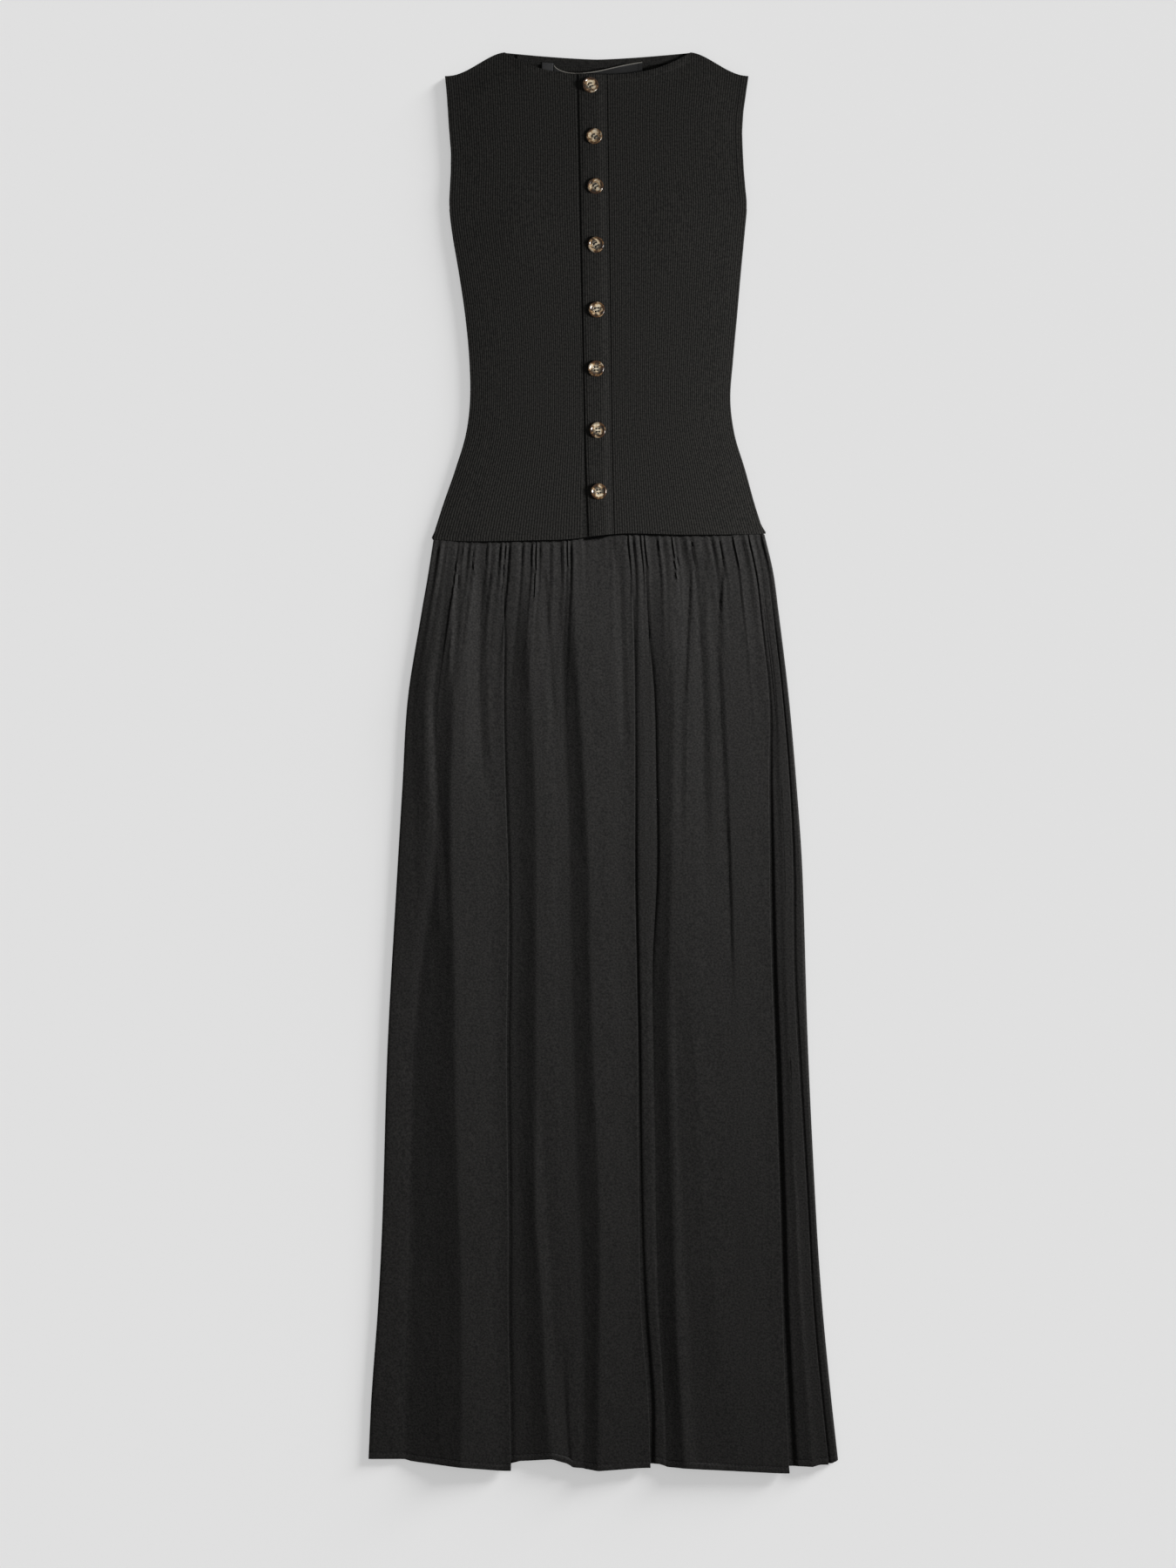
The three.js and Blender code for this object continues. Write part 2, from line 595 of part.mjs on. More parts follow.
// A point of the skirt's front: the section's own point, half a wall out along its normal, with the gathers
// on top.
function sectionPoint(points, down, v, along, side) {
  const last = points.length - 1;
  const value = (key, shift) => {
    const moved = Math.min(last, Math.max(0, along + shift));
    const span = Math.min(last - 1, Math.floor(moved));
    return onSpline(points, span, moved - span, key);
  };
  const nudge = 0.02;
  const tangent = [value("x", nudge) - value("x", -nudge), value("z", nudge) - value("z", -nudge)];
  const long = Math.hypot(...tangent);
  const up = tangent[0] / long;
  const x = value("x", 0) - (side * SATIN * tangent[1]) / long / 2;
  const across = (x - skirtX(0, down)) / (skirtX(100, down) - skirtX(0, down));
  const seam = seamAt(across);
  const onHem = v >= AT_HEM_TURN ? HEM.rise : 0;
  const raised = side > 0 ? gather(across, v * (TOTAL_LENGTH - seam)) + onHem : 0;
  const z = value("z", 0) + (side * SATIN * up) / 2 + raised * Math.max(0, up);
  return { at: [x, TOP_Y - mix(seam, value("hem", 0), v), z], along };
}

// The back lies under the front. It rests on the surface, and rises a little under each of the front's
// crests.
const BACK = { inset: SATIN + SEAM_GAP, ridge: 2.4, hemShort: 2, foldsOver: 5 };
const BACK_ROWS = [0, 0.1, 0.25, 0.49, 0.77, 1];
function skirtBack() {
  const stations = (down) => {
    const rise = BACK.ridge * grown(down);
    const left = { x: skirtX(0, down) + BACK.inset, z: 0, hem: FOLDS[0].hemStart };
    const right = { x: skirtX(100, down) - BACK.inset, z: 0, hem: FOLDS.at(-1).hemLip };
    const under = FOLDS.slice(0, BACK.foldsOver).flatMap((fold, i) => {
      const crest = skirtX(atLevel(fold.crest, down), down);
      const next = skirtX(atLevel(FOLDS[i + 1].crease, down), down);
      const foot = i ? skirtX(atLevel(fold.crease, down), down) : mix(left.x, crest, 0.4);
      const ridge = fold.name === "middle knife" ? 0 : rise;
      return [
        { x: mix(foot, crest, 0.45), z: 0, hem: fold.hemStart - BACK.hemShort },
        { x: crest, z: ridge, hem: fold.hemCrest - BACK.hemShort },
        { x: mix(crest, next, 0.25), z: ridge, hem: fold.hemCrest - BACK.hemShort },
        { x: mix(crest, next, 0.6), z: 0, hem: fold.hemLip - BACK.hemShort },
      ];
    });
    return [left, ...under, right];
  };
  const sheet = (height) =>
    BACK_ROWS.map((v) => {
      const down = mix(SKIRT[0].down, HEM_LEVEL, v);
      return stations(down).map(({ x, z, hem }, i) => {
        const across = (x - skirtX(0, down)) / (skirtX(100, down) - skirtX(0, down));
        return { at: [x, TOP_Y - mix(seamAt(across), hem, v), z + height], along: i };
      });
    });
  return wall("skirt_back", "#232222", 0.6, sheet(SATIN), sheet(0));
}

const dress = new THREE.Group();
dress.add(bodiceBack(), backNeckBand(), neckLabel(), sizeTab());
dress.add(...bodiceFronts(), placket());
dress.add(skirtBack(), skirtFront());
BUTTONS.forEach((row, i) => dress.add(button(i + 1, row)));

export default dress;
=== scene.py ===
"""The finish of a black sleeveless maxi dress laid flat: rib-knit bodice, buttoned placket, gathered satin skirt.

Every cloth piece is a thin shell on the form of its solid, worked out from the same sizes. Lengths in the tables are
millimetres, and one function takes them to Blender's metres.
"""

import math
from functools import partial

import bmesh
import bpy
import numpy as np
from mathutils import Euler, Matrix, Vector


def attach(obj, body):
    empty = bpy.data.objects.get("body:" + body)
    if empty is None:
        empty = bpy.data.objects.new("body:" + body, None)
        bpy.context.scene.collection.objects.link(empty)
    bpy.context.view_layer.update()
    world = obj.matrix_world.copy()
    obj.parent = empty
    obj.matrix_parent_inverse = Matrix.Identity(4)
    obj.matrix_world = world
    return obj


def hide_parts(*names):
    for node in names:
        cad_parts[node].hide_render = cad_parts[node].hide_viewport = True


bl_info = {
    "name": "Maxi dress laid flat",
    "version": (1, 0, 0),
    "blender": (4, 5, 0),
    "location": "3D View > Sidebar > Maxi dress",
    "description": "Knit bodice, buttoned placket and gathered satin skirt around the packed solids",
    "category": "Add Mesh",
}

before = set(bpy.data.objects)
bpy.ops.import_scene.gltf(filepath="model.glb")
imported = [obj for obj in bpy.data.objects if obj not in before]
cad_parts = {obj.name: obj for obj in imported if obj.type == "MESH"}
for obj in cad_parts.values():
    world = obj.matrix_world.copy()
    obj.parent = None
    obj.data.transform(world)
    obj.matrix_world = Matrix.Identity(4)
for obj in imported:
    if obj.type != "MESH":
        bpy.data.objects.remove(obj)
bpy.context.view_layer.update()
MM = 0.001
TOTAL_LENGTH = 1386
TOP_Y = TOTAL_LENGTH / 2
# What the camera sees: a frame 1.53 m tall, with its centre a little left of the dress and below its middle.
FRAME_TALL = 1.53
FRAME_CENTRE = (-0.014875, -0.02125)

# The driving sizes of the solids.
KNIT = 1.4
SATIN = 1.1
TAPE = 1.0
SEAM_GAP = 0.3
PLACKET_WALL = 1.2
NECK = {"centre": -5.5, "half": 90.4, "front_drop": 21.9, "front_power": 2.7, "back_drop": 6.5, "back_power": 1.4,
        "top": 1}
SHOULDER = {"half": 148, "drop": 23, "bend": 1.7}
CROWN = {"loft": 2.4, "power": 6, "bust": 1.2, "bust_across": 0.5, "bust_down": 168, "bust_wide": 0.24, "bust_tall": 46}
NECK_LIFT = {"height": 2.9, "long": 60}
SHOULDER_FALL = {"from": 68, "over": 27, "long": 34}
SIDE_ROLL = {"foot": 1.4, "tall": 1.2, "wide": 2.5, "top": 2.9}
STAND = {"past_middle": 3, "ribbed": 0.868, "fall_from": 0.05, "fall_to": 0.97}
WAIST_HEIGHT = 3.2
FOLD_GROWS_OVER = 130
RIBS = {"back": 125, "right": 54, "left": 59, "placket": 12, "neck_edge": 71}

# Outlines: how far down from the neck points, the middle line and the half width.
BODICE = {
    "down": [24, 42, 70, 104, 130, 149, 175, 216, 255, 300, 340, 374, 408, 442, 474],
    "centre": [-6.4, -6.8, -7.6, -6, -5.6, -5.1, -4.8, -3.3, -2.1, -2, -3, -3, -3, -4.2, -4.2],
    "half": [148, 145.8, 143.2, 142.4, 143.8, 145, 142.6, 137.2, 132.6, 128.4, 126.7, 130.9, 141.1, 151.7, 162],
}
SKIRT = {
    "down": [474, 510, 544, 629, 714, 799, 969, 1139, 1224, 1309, 1372],
    "centre": [-4.2, -2.8, -3.4, -5, -3.8, -3.4, -5.4, -3.8, -3, -2, 0],
    "half": [161.5, 168.5, 173.8, 185.7, 192.1, 197.6, 205, 211.7, 216.8, 224, 229],
}
WAIST = {
    "across": [-164, -131, -66, -34, -8, 22, 80, 158],
    "down": [476.5, 478, 477, 476, 472.8, 470.4, 471.6, 471],
}
PLACKET = {"down": [24, 188, 384, 474], "centre": [-10.5, -7.7, -4.4, -1.8], "half": [14, 13.6, 13, 12.4]}
BUTTONS = [
    {"down": 34, "aside": -2.3, "lean_x": -9, "lean_y": 7, "turn": 30},
    {"down": 83.7, "aside": 0.8, "lean_x": -4, "lean_y": -6, "turn": 52},
    {"down": 132.2, "aside": 1, "lean_x": -5, "lean_y": -4, "turn": 40},
    {"down": 189.1, "aside": 0.5, "lean_x": 3, "lean_y": -3, "turn": 38},
    {"down": 252.5, "aside": 0.2, "lean_x": -2, "lean_y": 3, "turn": 12},
    {"down": 309.8, "aside": -1.4, "lean_x": 2, "lean_y": 2, "turn": 2},
    {"down": 369.8, "aside": -0.8, "lean_x": -3, "lean_y": -2, "turn": 4},
    {"down": 429.3, "aside": -1.4, "lean_x": 3, "lean_y": 2, "turn": 10},
]

# The back's folds from left to right, in percent of the width at four distances down: the crest of each, and the crease
# to its right. The one in FLAT_FOLD doesn't rise.
BACK_LEVELS = [493, 671, 1011, 1366]
BACK_CRESTS = [
    [11.5, 12.2, 16.5, 19.5], [29.5, 33.3, 35.2, 38.5], [42.5, 45.8, 48.8, 49.5], [62, 61.9, 62.3, 62.8],
    [67, 67.2, 67.7, 67.5],
]
BACK_CREASES = [
    [21.5, 26, 29.1, 30.7], [39, 41.8, 44, 45.6], [60.3, 59.4, 60, 60.4], [63.8, 64.8, 64.5, 64.5],
    [95.2, 94.2, 92.8, 90.6],
]
BACK_RISE = 2.4
BACK_SHORTER = 2
FLAT_FOLD = 3

# The front as it shows, at twelve distances down, from left to right. Each fold rises from its foot to a crest and
# runs on as a flat lip. In a knife fold the lip of the cloth before it ends at the crease, then come a narrow gap, a
# low shelf, and from the foot an even slope to the crest. An open fold has no crease, and the cloth only sinks to its
# foot. Places are percent of the width and heights are millimetres. A hem gives the edge's distance down at foot,
# crest and lip.
SHOWN_LEVELS = [493, 561, 629, 714, 799, 884, 969, 1054, 1139, 1224, 1309, 1366]
SHOWN = [
    # Left side.
    {"foot": [5.5, 6.5, 7, 8.7, 9.4, 7.4, 6.4, 6.4, 6.6, 7, 7.6, 8],
     "crest": [7.5, 9.2, 12, 12.3, 13.4, 15, 15.9, 16.6, 17.6, 18.6, 19.5, 19.5],
     "shelf": [6, 6, 5.6, 5.2, 4.4, 2.6, 1.9, 1.9, 1.9, 1.9, 1.9, 1.9], "top": 9.2, "hem": [1372.5, 1380, 1383.6]},
    # Left knife.
    {"curl": 0.2, "gap": [1, 1, 1, 1, 1.4, 2.6, 2.4, 2.4, 2.4, 2, 2, 2],
     "crease": [21.5, 24, 25.5, 26.5, 27.7, 28.3, 28.6, 29, 29.3, 29.6, 30.4, 30.6],
     "foot": [25, 26.2, 27.3, 28.6, 29.6, 30.4, 30.6, 31.2, 31.6, 32.2, 33.6, 34.2],
     "crest": [29.5, 30.3, 32.3, 33.6, 34.2, 34.8, 35.2, 35.3, 35.3, 37, 38, 39],
     "low": 2.1, "shelf": 3.2, "lip": 5.6, "top": 7, "hem": [1374.5, 1372.2, 1380]},
    # Middle dip.
    {"foot": [39, 39.8, 41.2, 42.2, 42.8, 43.6, 44.4, 45, 45.6, 46.3, 46.4, 46],
     "crest": [42.5, 43.4, 45, 46.3, 47.2, 47.9, 48.8, 49.5, 50, 49.8, 49.4, 49],
     "shelf": [4.8, 4.8, 4.8, 4.8, 4.8, 4.8, 4.8, 4.8, 4.9, 5, 5.4, 5.6], "top": 8.6, "hem": [1381, 1383.4, 1380.6]},
    # Middle knife.
    {"gap": [1, 1, 1, 1.4, 1.6, 1.6, 2, 2.6, 3.4, 5, 4.6, 3],
     "crease": [58.9, 59.7, 59.9, 59.3, 58.9, 59.4, 59.8, 59.6, 59.4, 59.5, 60.5, 60.3],
     "foot": [60.4, 61.2, 61.3, 60.8, 60.5, 61, 61.3, 61.3, 61.2, 61.6, 62.4, 62],
     "crest": [61, 61.8, 61.9, 61.5, 61.2, 61.6, 61.9, 62, 62, 62.3, 63, 62.6],
     "low": [3.8, 3.8, 3.8, 3.6, 3.2, 2.8, 2.5, 2.3, 2.3, 2.3, 2.3, 2.3],
     "shelf": [4.9, 4.9, 4.9, 4.9, 4.8, 4.4, 4.1, 3.9, 3.9, 4.1, 4.4, 4.6], "lip": 6.2,
     "top": [5.1, 5.1, 5.1, 5.1, 5, 4.6, 4.3, 4.1, 4.1, 4.3, 4.6, 4.8], "hem": [1376.8, 1378, 1379]},
    # Right groove.
    {"step": [0.6, 0.8, 1, 1.2, 1.3, 0.6, 0.2, 0, 0, 0, 0, 0],
     "foot": [63, 63.6, 64.9, 64.6, 64.3, 63.2, 63.3, 63.3, 63.1, 63.2, 63.8, 63.5],
     "crest": [67.2, 69.6, 69.7, 68.6, 67.8, 67.3, 67.6, 67.7, 67.6, 67.2, 67.4, 67.5],
     "shelf": [4.8, 4.8, 4.8, 4.8, 4.7, 4.3, 4, 3.8, 3.8, 4, 4.4, 4.6], "top": 8.6, "hem": [1379.4, 1381, 1386]},
    # Right knife.
    {"gap": [1, 1, 1.4, 2.4, 3.4, 3.6, 3.8, 3.8, 4, 4.4, 5.4, 6],
     "crease": [95.2, 95.1, 95.1, 93.3, 92.2, 92.1, 92.4, 92.3, 92, 91.3, 90.5, 89.9],
     "foot": [96, 96, 96, 94.6, 93.8, 93.8, 94.1, 94, 93.8, 93.2, 92.8, 92.3],
     "crest": [97, 97, 97, 96, 95.4, 95.3, 95.5, 95.5, 95.3, 95, 94.8, 94.5],
     "low": [4.6, 4.2, 3.8, 3.2, 2.6, 2.3, 2, 1.9, 1.9, 1.9, 1.9, 1.9],
     "shelf": 4.6, "lip": 6.2, "top": 5.6, "hem": [1379.2, 1379.8, 1377.6]},
    # Right side.
    {"gap": [0.6, 0.6, 0.6, 0.8, 1.6, 1.8, 1.8, 1.4, 1, 1, 1, 1],
     "crease": [98.6, 98.6, 98.6, 98.5, 97.9, 97.4, 97.8, 98.2, 98.4, 98.2, 98.2, 98.2],
     "foot": [99.2, 99.2, 99.2, 99.1, 98.7, 98.4, 98.7, 98.9, 99, 98.9, 98.9, 98.9],
     "crest": [99.6, 99.6, 99.6, 99.5, 99.3, 99.2, 99.3, 99.4, 99.5, 99.4, 99.4, 99.4],
     "low": 2.1, "shelf": 3.1, "lip": 5, "top": 3.3, "hem": [1376.6, 1375, 1373.4]},
]
# How far a knife's lip laps over the cloth that goes back under it, and how long it lies flat before its end.
OVERLAP = 2.5
LIP_LONG = 9

# Softer ridges and troughs that lie on the folds, each with straight sides: distances down and percents across of its
# path, its height, how wide it is to the left and to the right at its start and its end, and over what length it grows
# and dies away.
RELIEF = [
    # At the left: the trough by the gathers, a ridge near the side, and a second trough.
    ([500, 561, 629, 700], [15.4, 17, 18.9, 20.4], -1.7, (9, 16), (7, 9), (30, 60)),
    ([590, 629, 714, 799, 860], [4, 5, 7.2, 10, 11.4], 0.9, (12, 24), (6, 8), (60, 50)),
    ([500, 561, 610], [8.6, 10.2, 11.3], -1.2, (3, 4), (4, 5), (20, 40)),
    # Before the middle and right of it.
    ([500, 560, 640], [33.6, 36, 38.6], -0.6, (9, 9), (2, 2.5), (20, 40)),
    ([485, 561, 629, 680], [55.8, 56.3, 57, 57.2], -0.9, (8, 8), (1.8, 1.8), (10, 60)),
    # The first crease at the right, the band beside it, and the second crease.
    ([485, 561, 629, 714, 760], [77, 74.6, 72.9, 71.3, 70.8], -1.1, (20, 28), (1.3, 1.6), (10, 110)),
    ([494, 561, 629, 714, 770], [79.8, 78, 77.5, 76.6, 76.4], -1.5, (24, 30), (6, 8), (20, 110)),
    ([494, 561, 629, 714, 799, 900], [86, 83.2, 82.3, 82.1, 82, 82.3], -1.3, (22, 36), (1.5, 1.8), (20, 110)),
    # Low down: below the left crest, at the right, and a small line at the hem.
    ([1010, 1054, 1139, 1224, 1366], [36.4, 37, 38, 39.4, 41], -1, (9, 12), (16, 20), (90, 1)),
    ([900, 969, 1054, 1139, 1224, 1309, 1366], [68.3, 68.6, 68.8, 69.2, 69.6, 70, 70.2], -1.3, (8, 12), (14, 34),
     (120, 1)),
    ([1270, 1330, 1366], [42, 42.4, 42.8], -0.9, (8, 8), (2.5, 2.5), (60, 1)),
]
GATHERS = {"count": 45, "at_seam": 0.5, "start_long": 9, "fade": 62}
CALM = {"from": 0.43, "to": 0.57, "edge": 0.04}
# The width of a skirt panel before it is gathered, as its UVs have it.
CUT_WIDTH = 560
HEM = {"turn": 7, "rise": 0.1, "stitch_up": 6, "dent_wide": 0.8}
LABEL = {"left": -48, "right": 38, "left_down": 13.4, "right_down": 10.2, "sag": 8.6, "lowest": 0.56, "tall": 17}
TAB = {"left": -60, "right": -48.6, "down": 10.5, "tall": 13}
BAND = {"half": 78.6, "wide": 8, "inset": 0.6}
BUTTON = {"radius": 7.8, "dish": 1.3, "hole_radius": 0.85, "hole_from": 1.55, "shank": 0.35}
# The button's rim from the bottom outwards, over its crest and in to the dish: shares of the radius, and heights.
RIM = [
    (0.6, 0), (0.72, 0.02), (0.84, 0.14), (0.93, 0.36), (0.985, 0.7), (1, 1.15), (1, 1.6), (0.985, 1.95), (0.955, 2.2),
    (0.915, 2.36), (0.87, 2.4), (0.825, 2.34), (0.785, 2.2), (0.75, 2.02), (0.715, 1.86), (0.68, 1.75), (0.64, 1.69),
    (0.6, 1.65),
]

# Sewing: the turned edges of neck and armholes with their stitches, those of the placket, and the thread.
TURNED = {"rise": 0.4, "wide": 6.7, "fall": 1.4, "groove": 0.32, "groove_wide": 0.55, "stitch_in": 6.9}
PLACKET_STITCH_IN = 1.6
THREAD = {"radius": 0.2, "bow": 0.1}
BUTTON_THREAD = 0.42
# The rolled side seams run between these distances down, with the waist seam's spread corners at their ends.
SIDE_SEAM = {"from": 150, "to": 470, "radius": 1.5, "in": 1.2}
CORNER = {"long": 15, "short_of_seam": 0.9, "radius": 1.35, "in": 1.4, "taper": 1.2}
ROLL_HEIGHT = 1.58
# How light the rolls are on the knit's scale of painted shade between ribs, from 0 dark to 1 light.
ROLL_RIB_SHADE = 0.4

# Rows of a knit panel close to its upper edge and to the waist seam.
NEAR_EDGE = np.array([0, 0.25, 0.6, 1.1, 1.9, 2.9, 4, 5, 5.8, 6.3, 6.7, 7, 7.3, 7.7, 8.3, 9.2, 10.6, 12.6, 15])
NEAR_SEAM = np.array([2.4, 1.2, 0.5, 0.15, 0])

# Stage: the suns that shine on the floor alone, with size and lean in degrees, and the lamp of each cloth. Places are
# metres here, and the floor is millimetres.
SUNS = {"floor_light": (10, 0), "floor_low_light": (18, 80)}
SUN_HEADING = 36
LAMPS = {
    "bodice_lamp": {"lit": "knit_pieces", "spread": 110, "place": (1.3, 0.2, 0.85), "target": (0, 0.12, 0)},
    "skirt_lamp": {"lit": "satin_pieces", "spread": 92, "place": (2.3, 1.7, 1.1), "target": (-0.15, 0.35, 0)},
}
LAMP_SIZE = 0.5
FLOOR = {"half": 4000, "height": -0.4}


def smoothstep(t):
    """0 below 0, 1 above 1, and 3t^2 - 2t^3 between."""
    c = np.clip(t, 0, 1)
    return c * c * (3 - 2 * c)


def mix(a, b, t):
    """a where t is 0, b where t is 1, and straight between."""
    return a + (b - a) * t


def bell(distance, at, wide):
    """1 where the distance is at, and falling to both sides as a bell curve: e to minus the square of the shares."""
    return np.exp(-(((distance - at) / wide) ** 2))


def follow(given, wanted, at):
    """A cubic through the points, whose slope at each is that from the point before it to the point after it."""
    xs, ys = np.asarray(given, float), np.asarray(wanted, float)
    low, high = np.maximum(np.arange(len(xs)) - 1, 0), np.minimum(np.arange(len(xs)) + 1, len(xs) - 1)
    slopes = (ys[high] - ys[low]) / (xs[high] - xs[low])
    x = np.clip(at, xs[0], xs[-1])
    i = np.clip(np.searchsorted(xs, x, side="left") - 1, 0, len(xs) - 2)
    span = xs[i + 1] - xs[i]
    t = (x - xs[i]) / span
    bend = t * (1 - t) * span * ((1 - t) * slopes[i] - t * slopes[i + 1])
    return mix(ys[i], ys[i + 1], t * t * (3 - 2 * t)) + bend


def upper_edge(x, drop, power):
    """Distance down of the neck's power curve, and past its half width of the shoulder's sine slope."""
    out = np.abs(x - NECK["centre"])
    neck = NECK["top"] + drop * (1 - np.minimum(out / NECK["half"], 1) ** power)
    along = np.clip((out - NECK["half"]) / (SHOULDER["half"] - NECK["half"]), 0, 1)
    shoulder = NECK["top"] + SHOULDER["drop"] * np.sin(along * math.pi / 2) ** SHOULDER["bend"]
    return np.where(out < NECK["half"], neck, shoulder)


def front_neck(x):
    """The front's upper edge."""
    return upper_edge(x, NECK["front_drop"], NECK["front_power"])


def back_neck(x):
    """The back's upper edge."""
    return upper_edge(x, NECK["back_drop"], NECK["back_power"])


def bodice_side(down, side):
    """x of the bodice's left (-1) or right (1) outline."""
    at = np.maximum(down, BODICE["down"][0])
    return follow(BODICE["down"], BODICE["centre"], at) + side * follow(BODICE["down"], BODICE["half"], at)


def placket_line(side, shift=0.0):
    """A function of the distance down that gives x of the placket's edge, or of its middle where side is 0."""
    return lambda down: (follow(PLACKET["down"], PLACKET["centre"], down)
                         + side * follow(PLACKET["down"], PLACKET["half"], down) + shift)


def front_underside(x, down):
    """Height under the bodice's front: the back's wall and gap, and a crown that falls to the sides and shoulders."""
    left, right = bodice_side(down, -1), bodice_side(down, 1)
    u = np.abs(2 * x - left - right) / (right - left)
    across = 1 - np.minimum(u, 1) ** CROWN["power"]
    below = down - front_neck(x)
    on_shoulder = smoothstep((np.abs(x - NECK["centre"]) - SHOULDER_FALL["from"]) / SHOULDER_FALL["over"])
    from_edge = mix(1, smoothstep(below / SHOULDER_FALL["long"]), on_shoulder)
    bust = bell(u, CROWN["bust_across"], CROWN["bust_wide"]) * bell(down, CROWN["bust_down"], CROWN["bust_tall"])
    near_neck = (1 - on_shoulder) * (1 - smoothstep(below / NECK_LIFT["long"]))
    loft = np.maximum((CROWN["loft"] + CROWN["bust"] * bust) * across * from_edge, NECK_LIFT["height"] * near_neck)
    return KNIT + SEAM_GAP + loft


def placket_underside(x, down):
    """The front's height with the button stand's wall on it, falling away past the stand to the front's own height."""
    middle = placket_line(0, STAND["past_middle"])(down)
    past = (x - middle) / (follow(PLACKET["down"], PLACKET["half"], down) - STAND["past_middle"])
    on_stand = 1 - smoothstep((past - STAND["fall_from"]) / (STAND["fall_to"] - STAND["fall_from"]))
    return front_underside(x, down) + on_stand * (KNIT + SEAM_GAP)


def seam_down(x):
    """Distance down of the waist seam at a place across."""
    return follow(WAIST["across"], WAIST["down"], x)


def skirt_x(percent, down):
    """x at a percent of the skirt's width."""
    centre, half = [follow(SKIRT["down"], SKIRT[key], down) for key in ("centre", "half")]
    return centre + (percent / 50 - 1) * half


def share_and_seam(x, down):
    """The share of the skirt's width at a place, and the distance down of the waist seam above it."""
    left, right = skirt_x(0, down), skirt_x(100, down)
    share = (x - left) / (right - left)
    return share, seam_down(mix(skirt_x(0, 0.0), skirt_x(100, 0.0), share))


def hex_linear(code):
    """An sRGB hex colour as linear red, green, blue and 1."""
    values = [int(code[i : i + 2], 16) / 255 for i in (1, 3, 5)]
    return (*[v / 12.92 if v <= 0.04045 else ((v + 0.055) / 1.055) ** 2.4 for v in values], 1.0)


def make_object(name, points, faces, uv=None, attributes=None):
    """A mesh object from points in millimetres, polygons, a UV for each point and numbers for each point."""
    mesh = bpy.data.meshes.new(name)
    mesh.from_pydata((np.asarray(points).reshape(-1, 3) * MM).tolist(), [], faces)
    if uv is not None:
        corners = np.zeros(len(mesh.loops), np.int32)
        mesh.loops.foreach_get("vertex_index", corners)
        layer = mesh.uv_layers.new(name="cloth")
        layer.data.foreach_set("uv", np.asarray(uv, np.float32)[corners].ravel())
    for key, values in (attributes or {}).items():
        mesh.attributes.new(key, "FLOAT", "POINT").data.foreach_set("value", np.asarray(values, np.float32).ravel())
    mesh.polygons.foreach_set("use_smooth", np.ones(len(mesh.polygons), bool))
    mesh.update()
    obj = bpy.data.objects.new(name, mesh)
    bpy.context.scene.collection.objects.link(obj)
    return obj


def grid_faces(ids, up):
    """Quads over an array of point numbers whose rows run left to right from the neck to the hem."""
    a, b, c, d = ids[:-1, :-1], ids[1:, :-1], ids[1:, 1:], ids[:-1, 1:]
    corners = (a, b, c, d) if up else (a, d, c, b)
    return np.stack([x.ravel() for x in corners], 1).tolist()


def ring(ids):
    """The point numbers round a grid, down its left side first."""
    return np.concatenate([ids[:-1, 0], ids[-1, :-1], ids[:0:-1, -1], ids[0, :0:-1]])


def shell(name, outer, inner, uv, ridge=None, coarse=2):
    """A closed wall between an outer and an inner grid of points. Of the inner grid each coarse-th row and column and
    the last ones are kept, and the rim joins each of its edges to the outer edges beside it. A knit piece keeps the
    height of its ribs, 0 to 1, in an attribute that its material reads."""
    rows, columns = outer.shape[:2]
    kept = np.ix_(*[np.append(np.arange(0, size - 1, coarse), size - 1) for size in (rows, columns)])
    over = np.arange(rows * columns).reshape(rows, columns)
    under = (rows * columns + np.arange(over[kept].size)).reshape(over[kept].shape)
    out_ring, in_ring = ring(over), ring(under)
    marks = np.append(np.flatnonzero(np.isin(out_ring, over[kept])), len(out_ring))
    out_ring, in_ring = np.append(out_ring, out_ring[0]), np.append(in_ring, in_ring[0])
    rim = [
        [*out_ring[start : end + 1][::-1].tolist(), int(in_ring[k]), int(in_ring[k + 1])]
        for k, (start, end) in enumerate(zip(marks[:-1], marks[1:]))
    ]
    points = np.concatenate([outer.reshape(-1, 3), inner[kept].reshape(-1, 3)])
    uvs = np.concatenate([uv.reshape(-1, 2), uv[kept].reshape(-1, 2)])
    # The ribs' height goes to the material, which paints shade between the ribs with it.
    values = {} if ridge is None else {"ridge": np.concatenate([ridge.ravel(), ridge[kept].ravel()])}
    return make_object(name, points, grid_faces(over, True) + grid_faces(under, False) + rim, uvs, values)


def stack(x, down, z):
    """Points from places across, distances down and heights."""
    x, down, z = np.broadcast_arrays(x, down, z)
    return np.stack([x, TOP_Y - down, z], -1)


def wall(name, x, down, low, top, uv, ridge=None, coarse=2):
    """A closed wall between two heights over the same places."""
    return shell(name, stack(x, down, top), stack(x, down, low), uv, ridge, coarse)


def cloth_uv(across, down):
    """UVs of a piece: places across it, in ribs or millimetres, and millimetres down it."""
    return np.stack(np.broadcast_arrays(across, down), -1)


def ring_quads(ids):
    """Quads between closed rings of point numbers. A ring is the last axis, and rings follow each other on the one
    before it."""
    a, b = ids[..., :-1, :], ids[..., 1:, :]
    return np.stack([a, np.roll(a, -1, -1), np.roll(b, -1, -1), b], -1).reshape(-1, 4)


def along_spans(counts):
    """Places along a section whose spans have these numbers of steps: the span's number and the share along it."""
    return np.concatenate([i + np.linspace(0, 1, n, endpoint=False) for i, n in enumerate(counts)] + [[len(counts)]])


def rounded(distance, radius):
    """How far a rounded edge drops below the face at a distance in from the edge: a quarter circle."""
    inside = np.clip(distance / radius, 0, 1)
    return radius * (1 - np.sqrt(1 - (1 - inside) ** 2))


def grown(down):
    """How much of a fold's form has grown at a distance down: none at the waist seam."""
    return smoothstep((down - SKIRT["down"][0]) / FOLD_GROWS_OVER)


def shown_at(values, down):
    """A place or a width at a distance down, from its values at the twelve levels."""
    return follow(SHOWN_LEVELS, values, down)


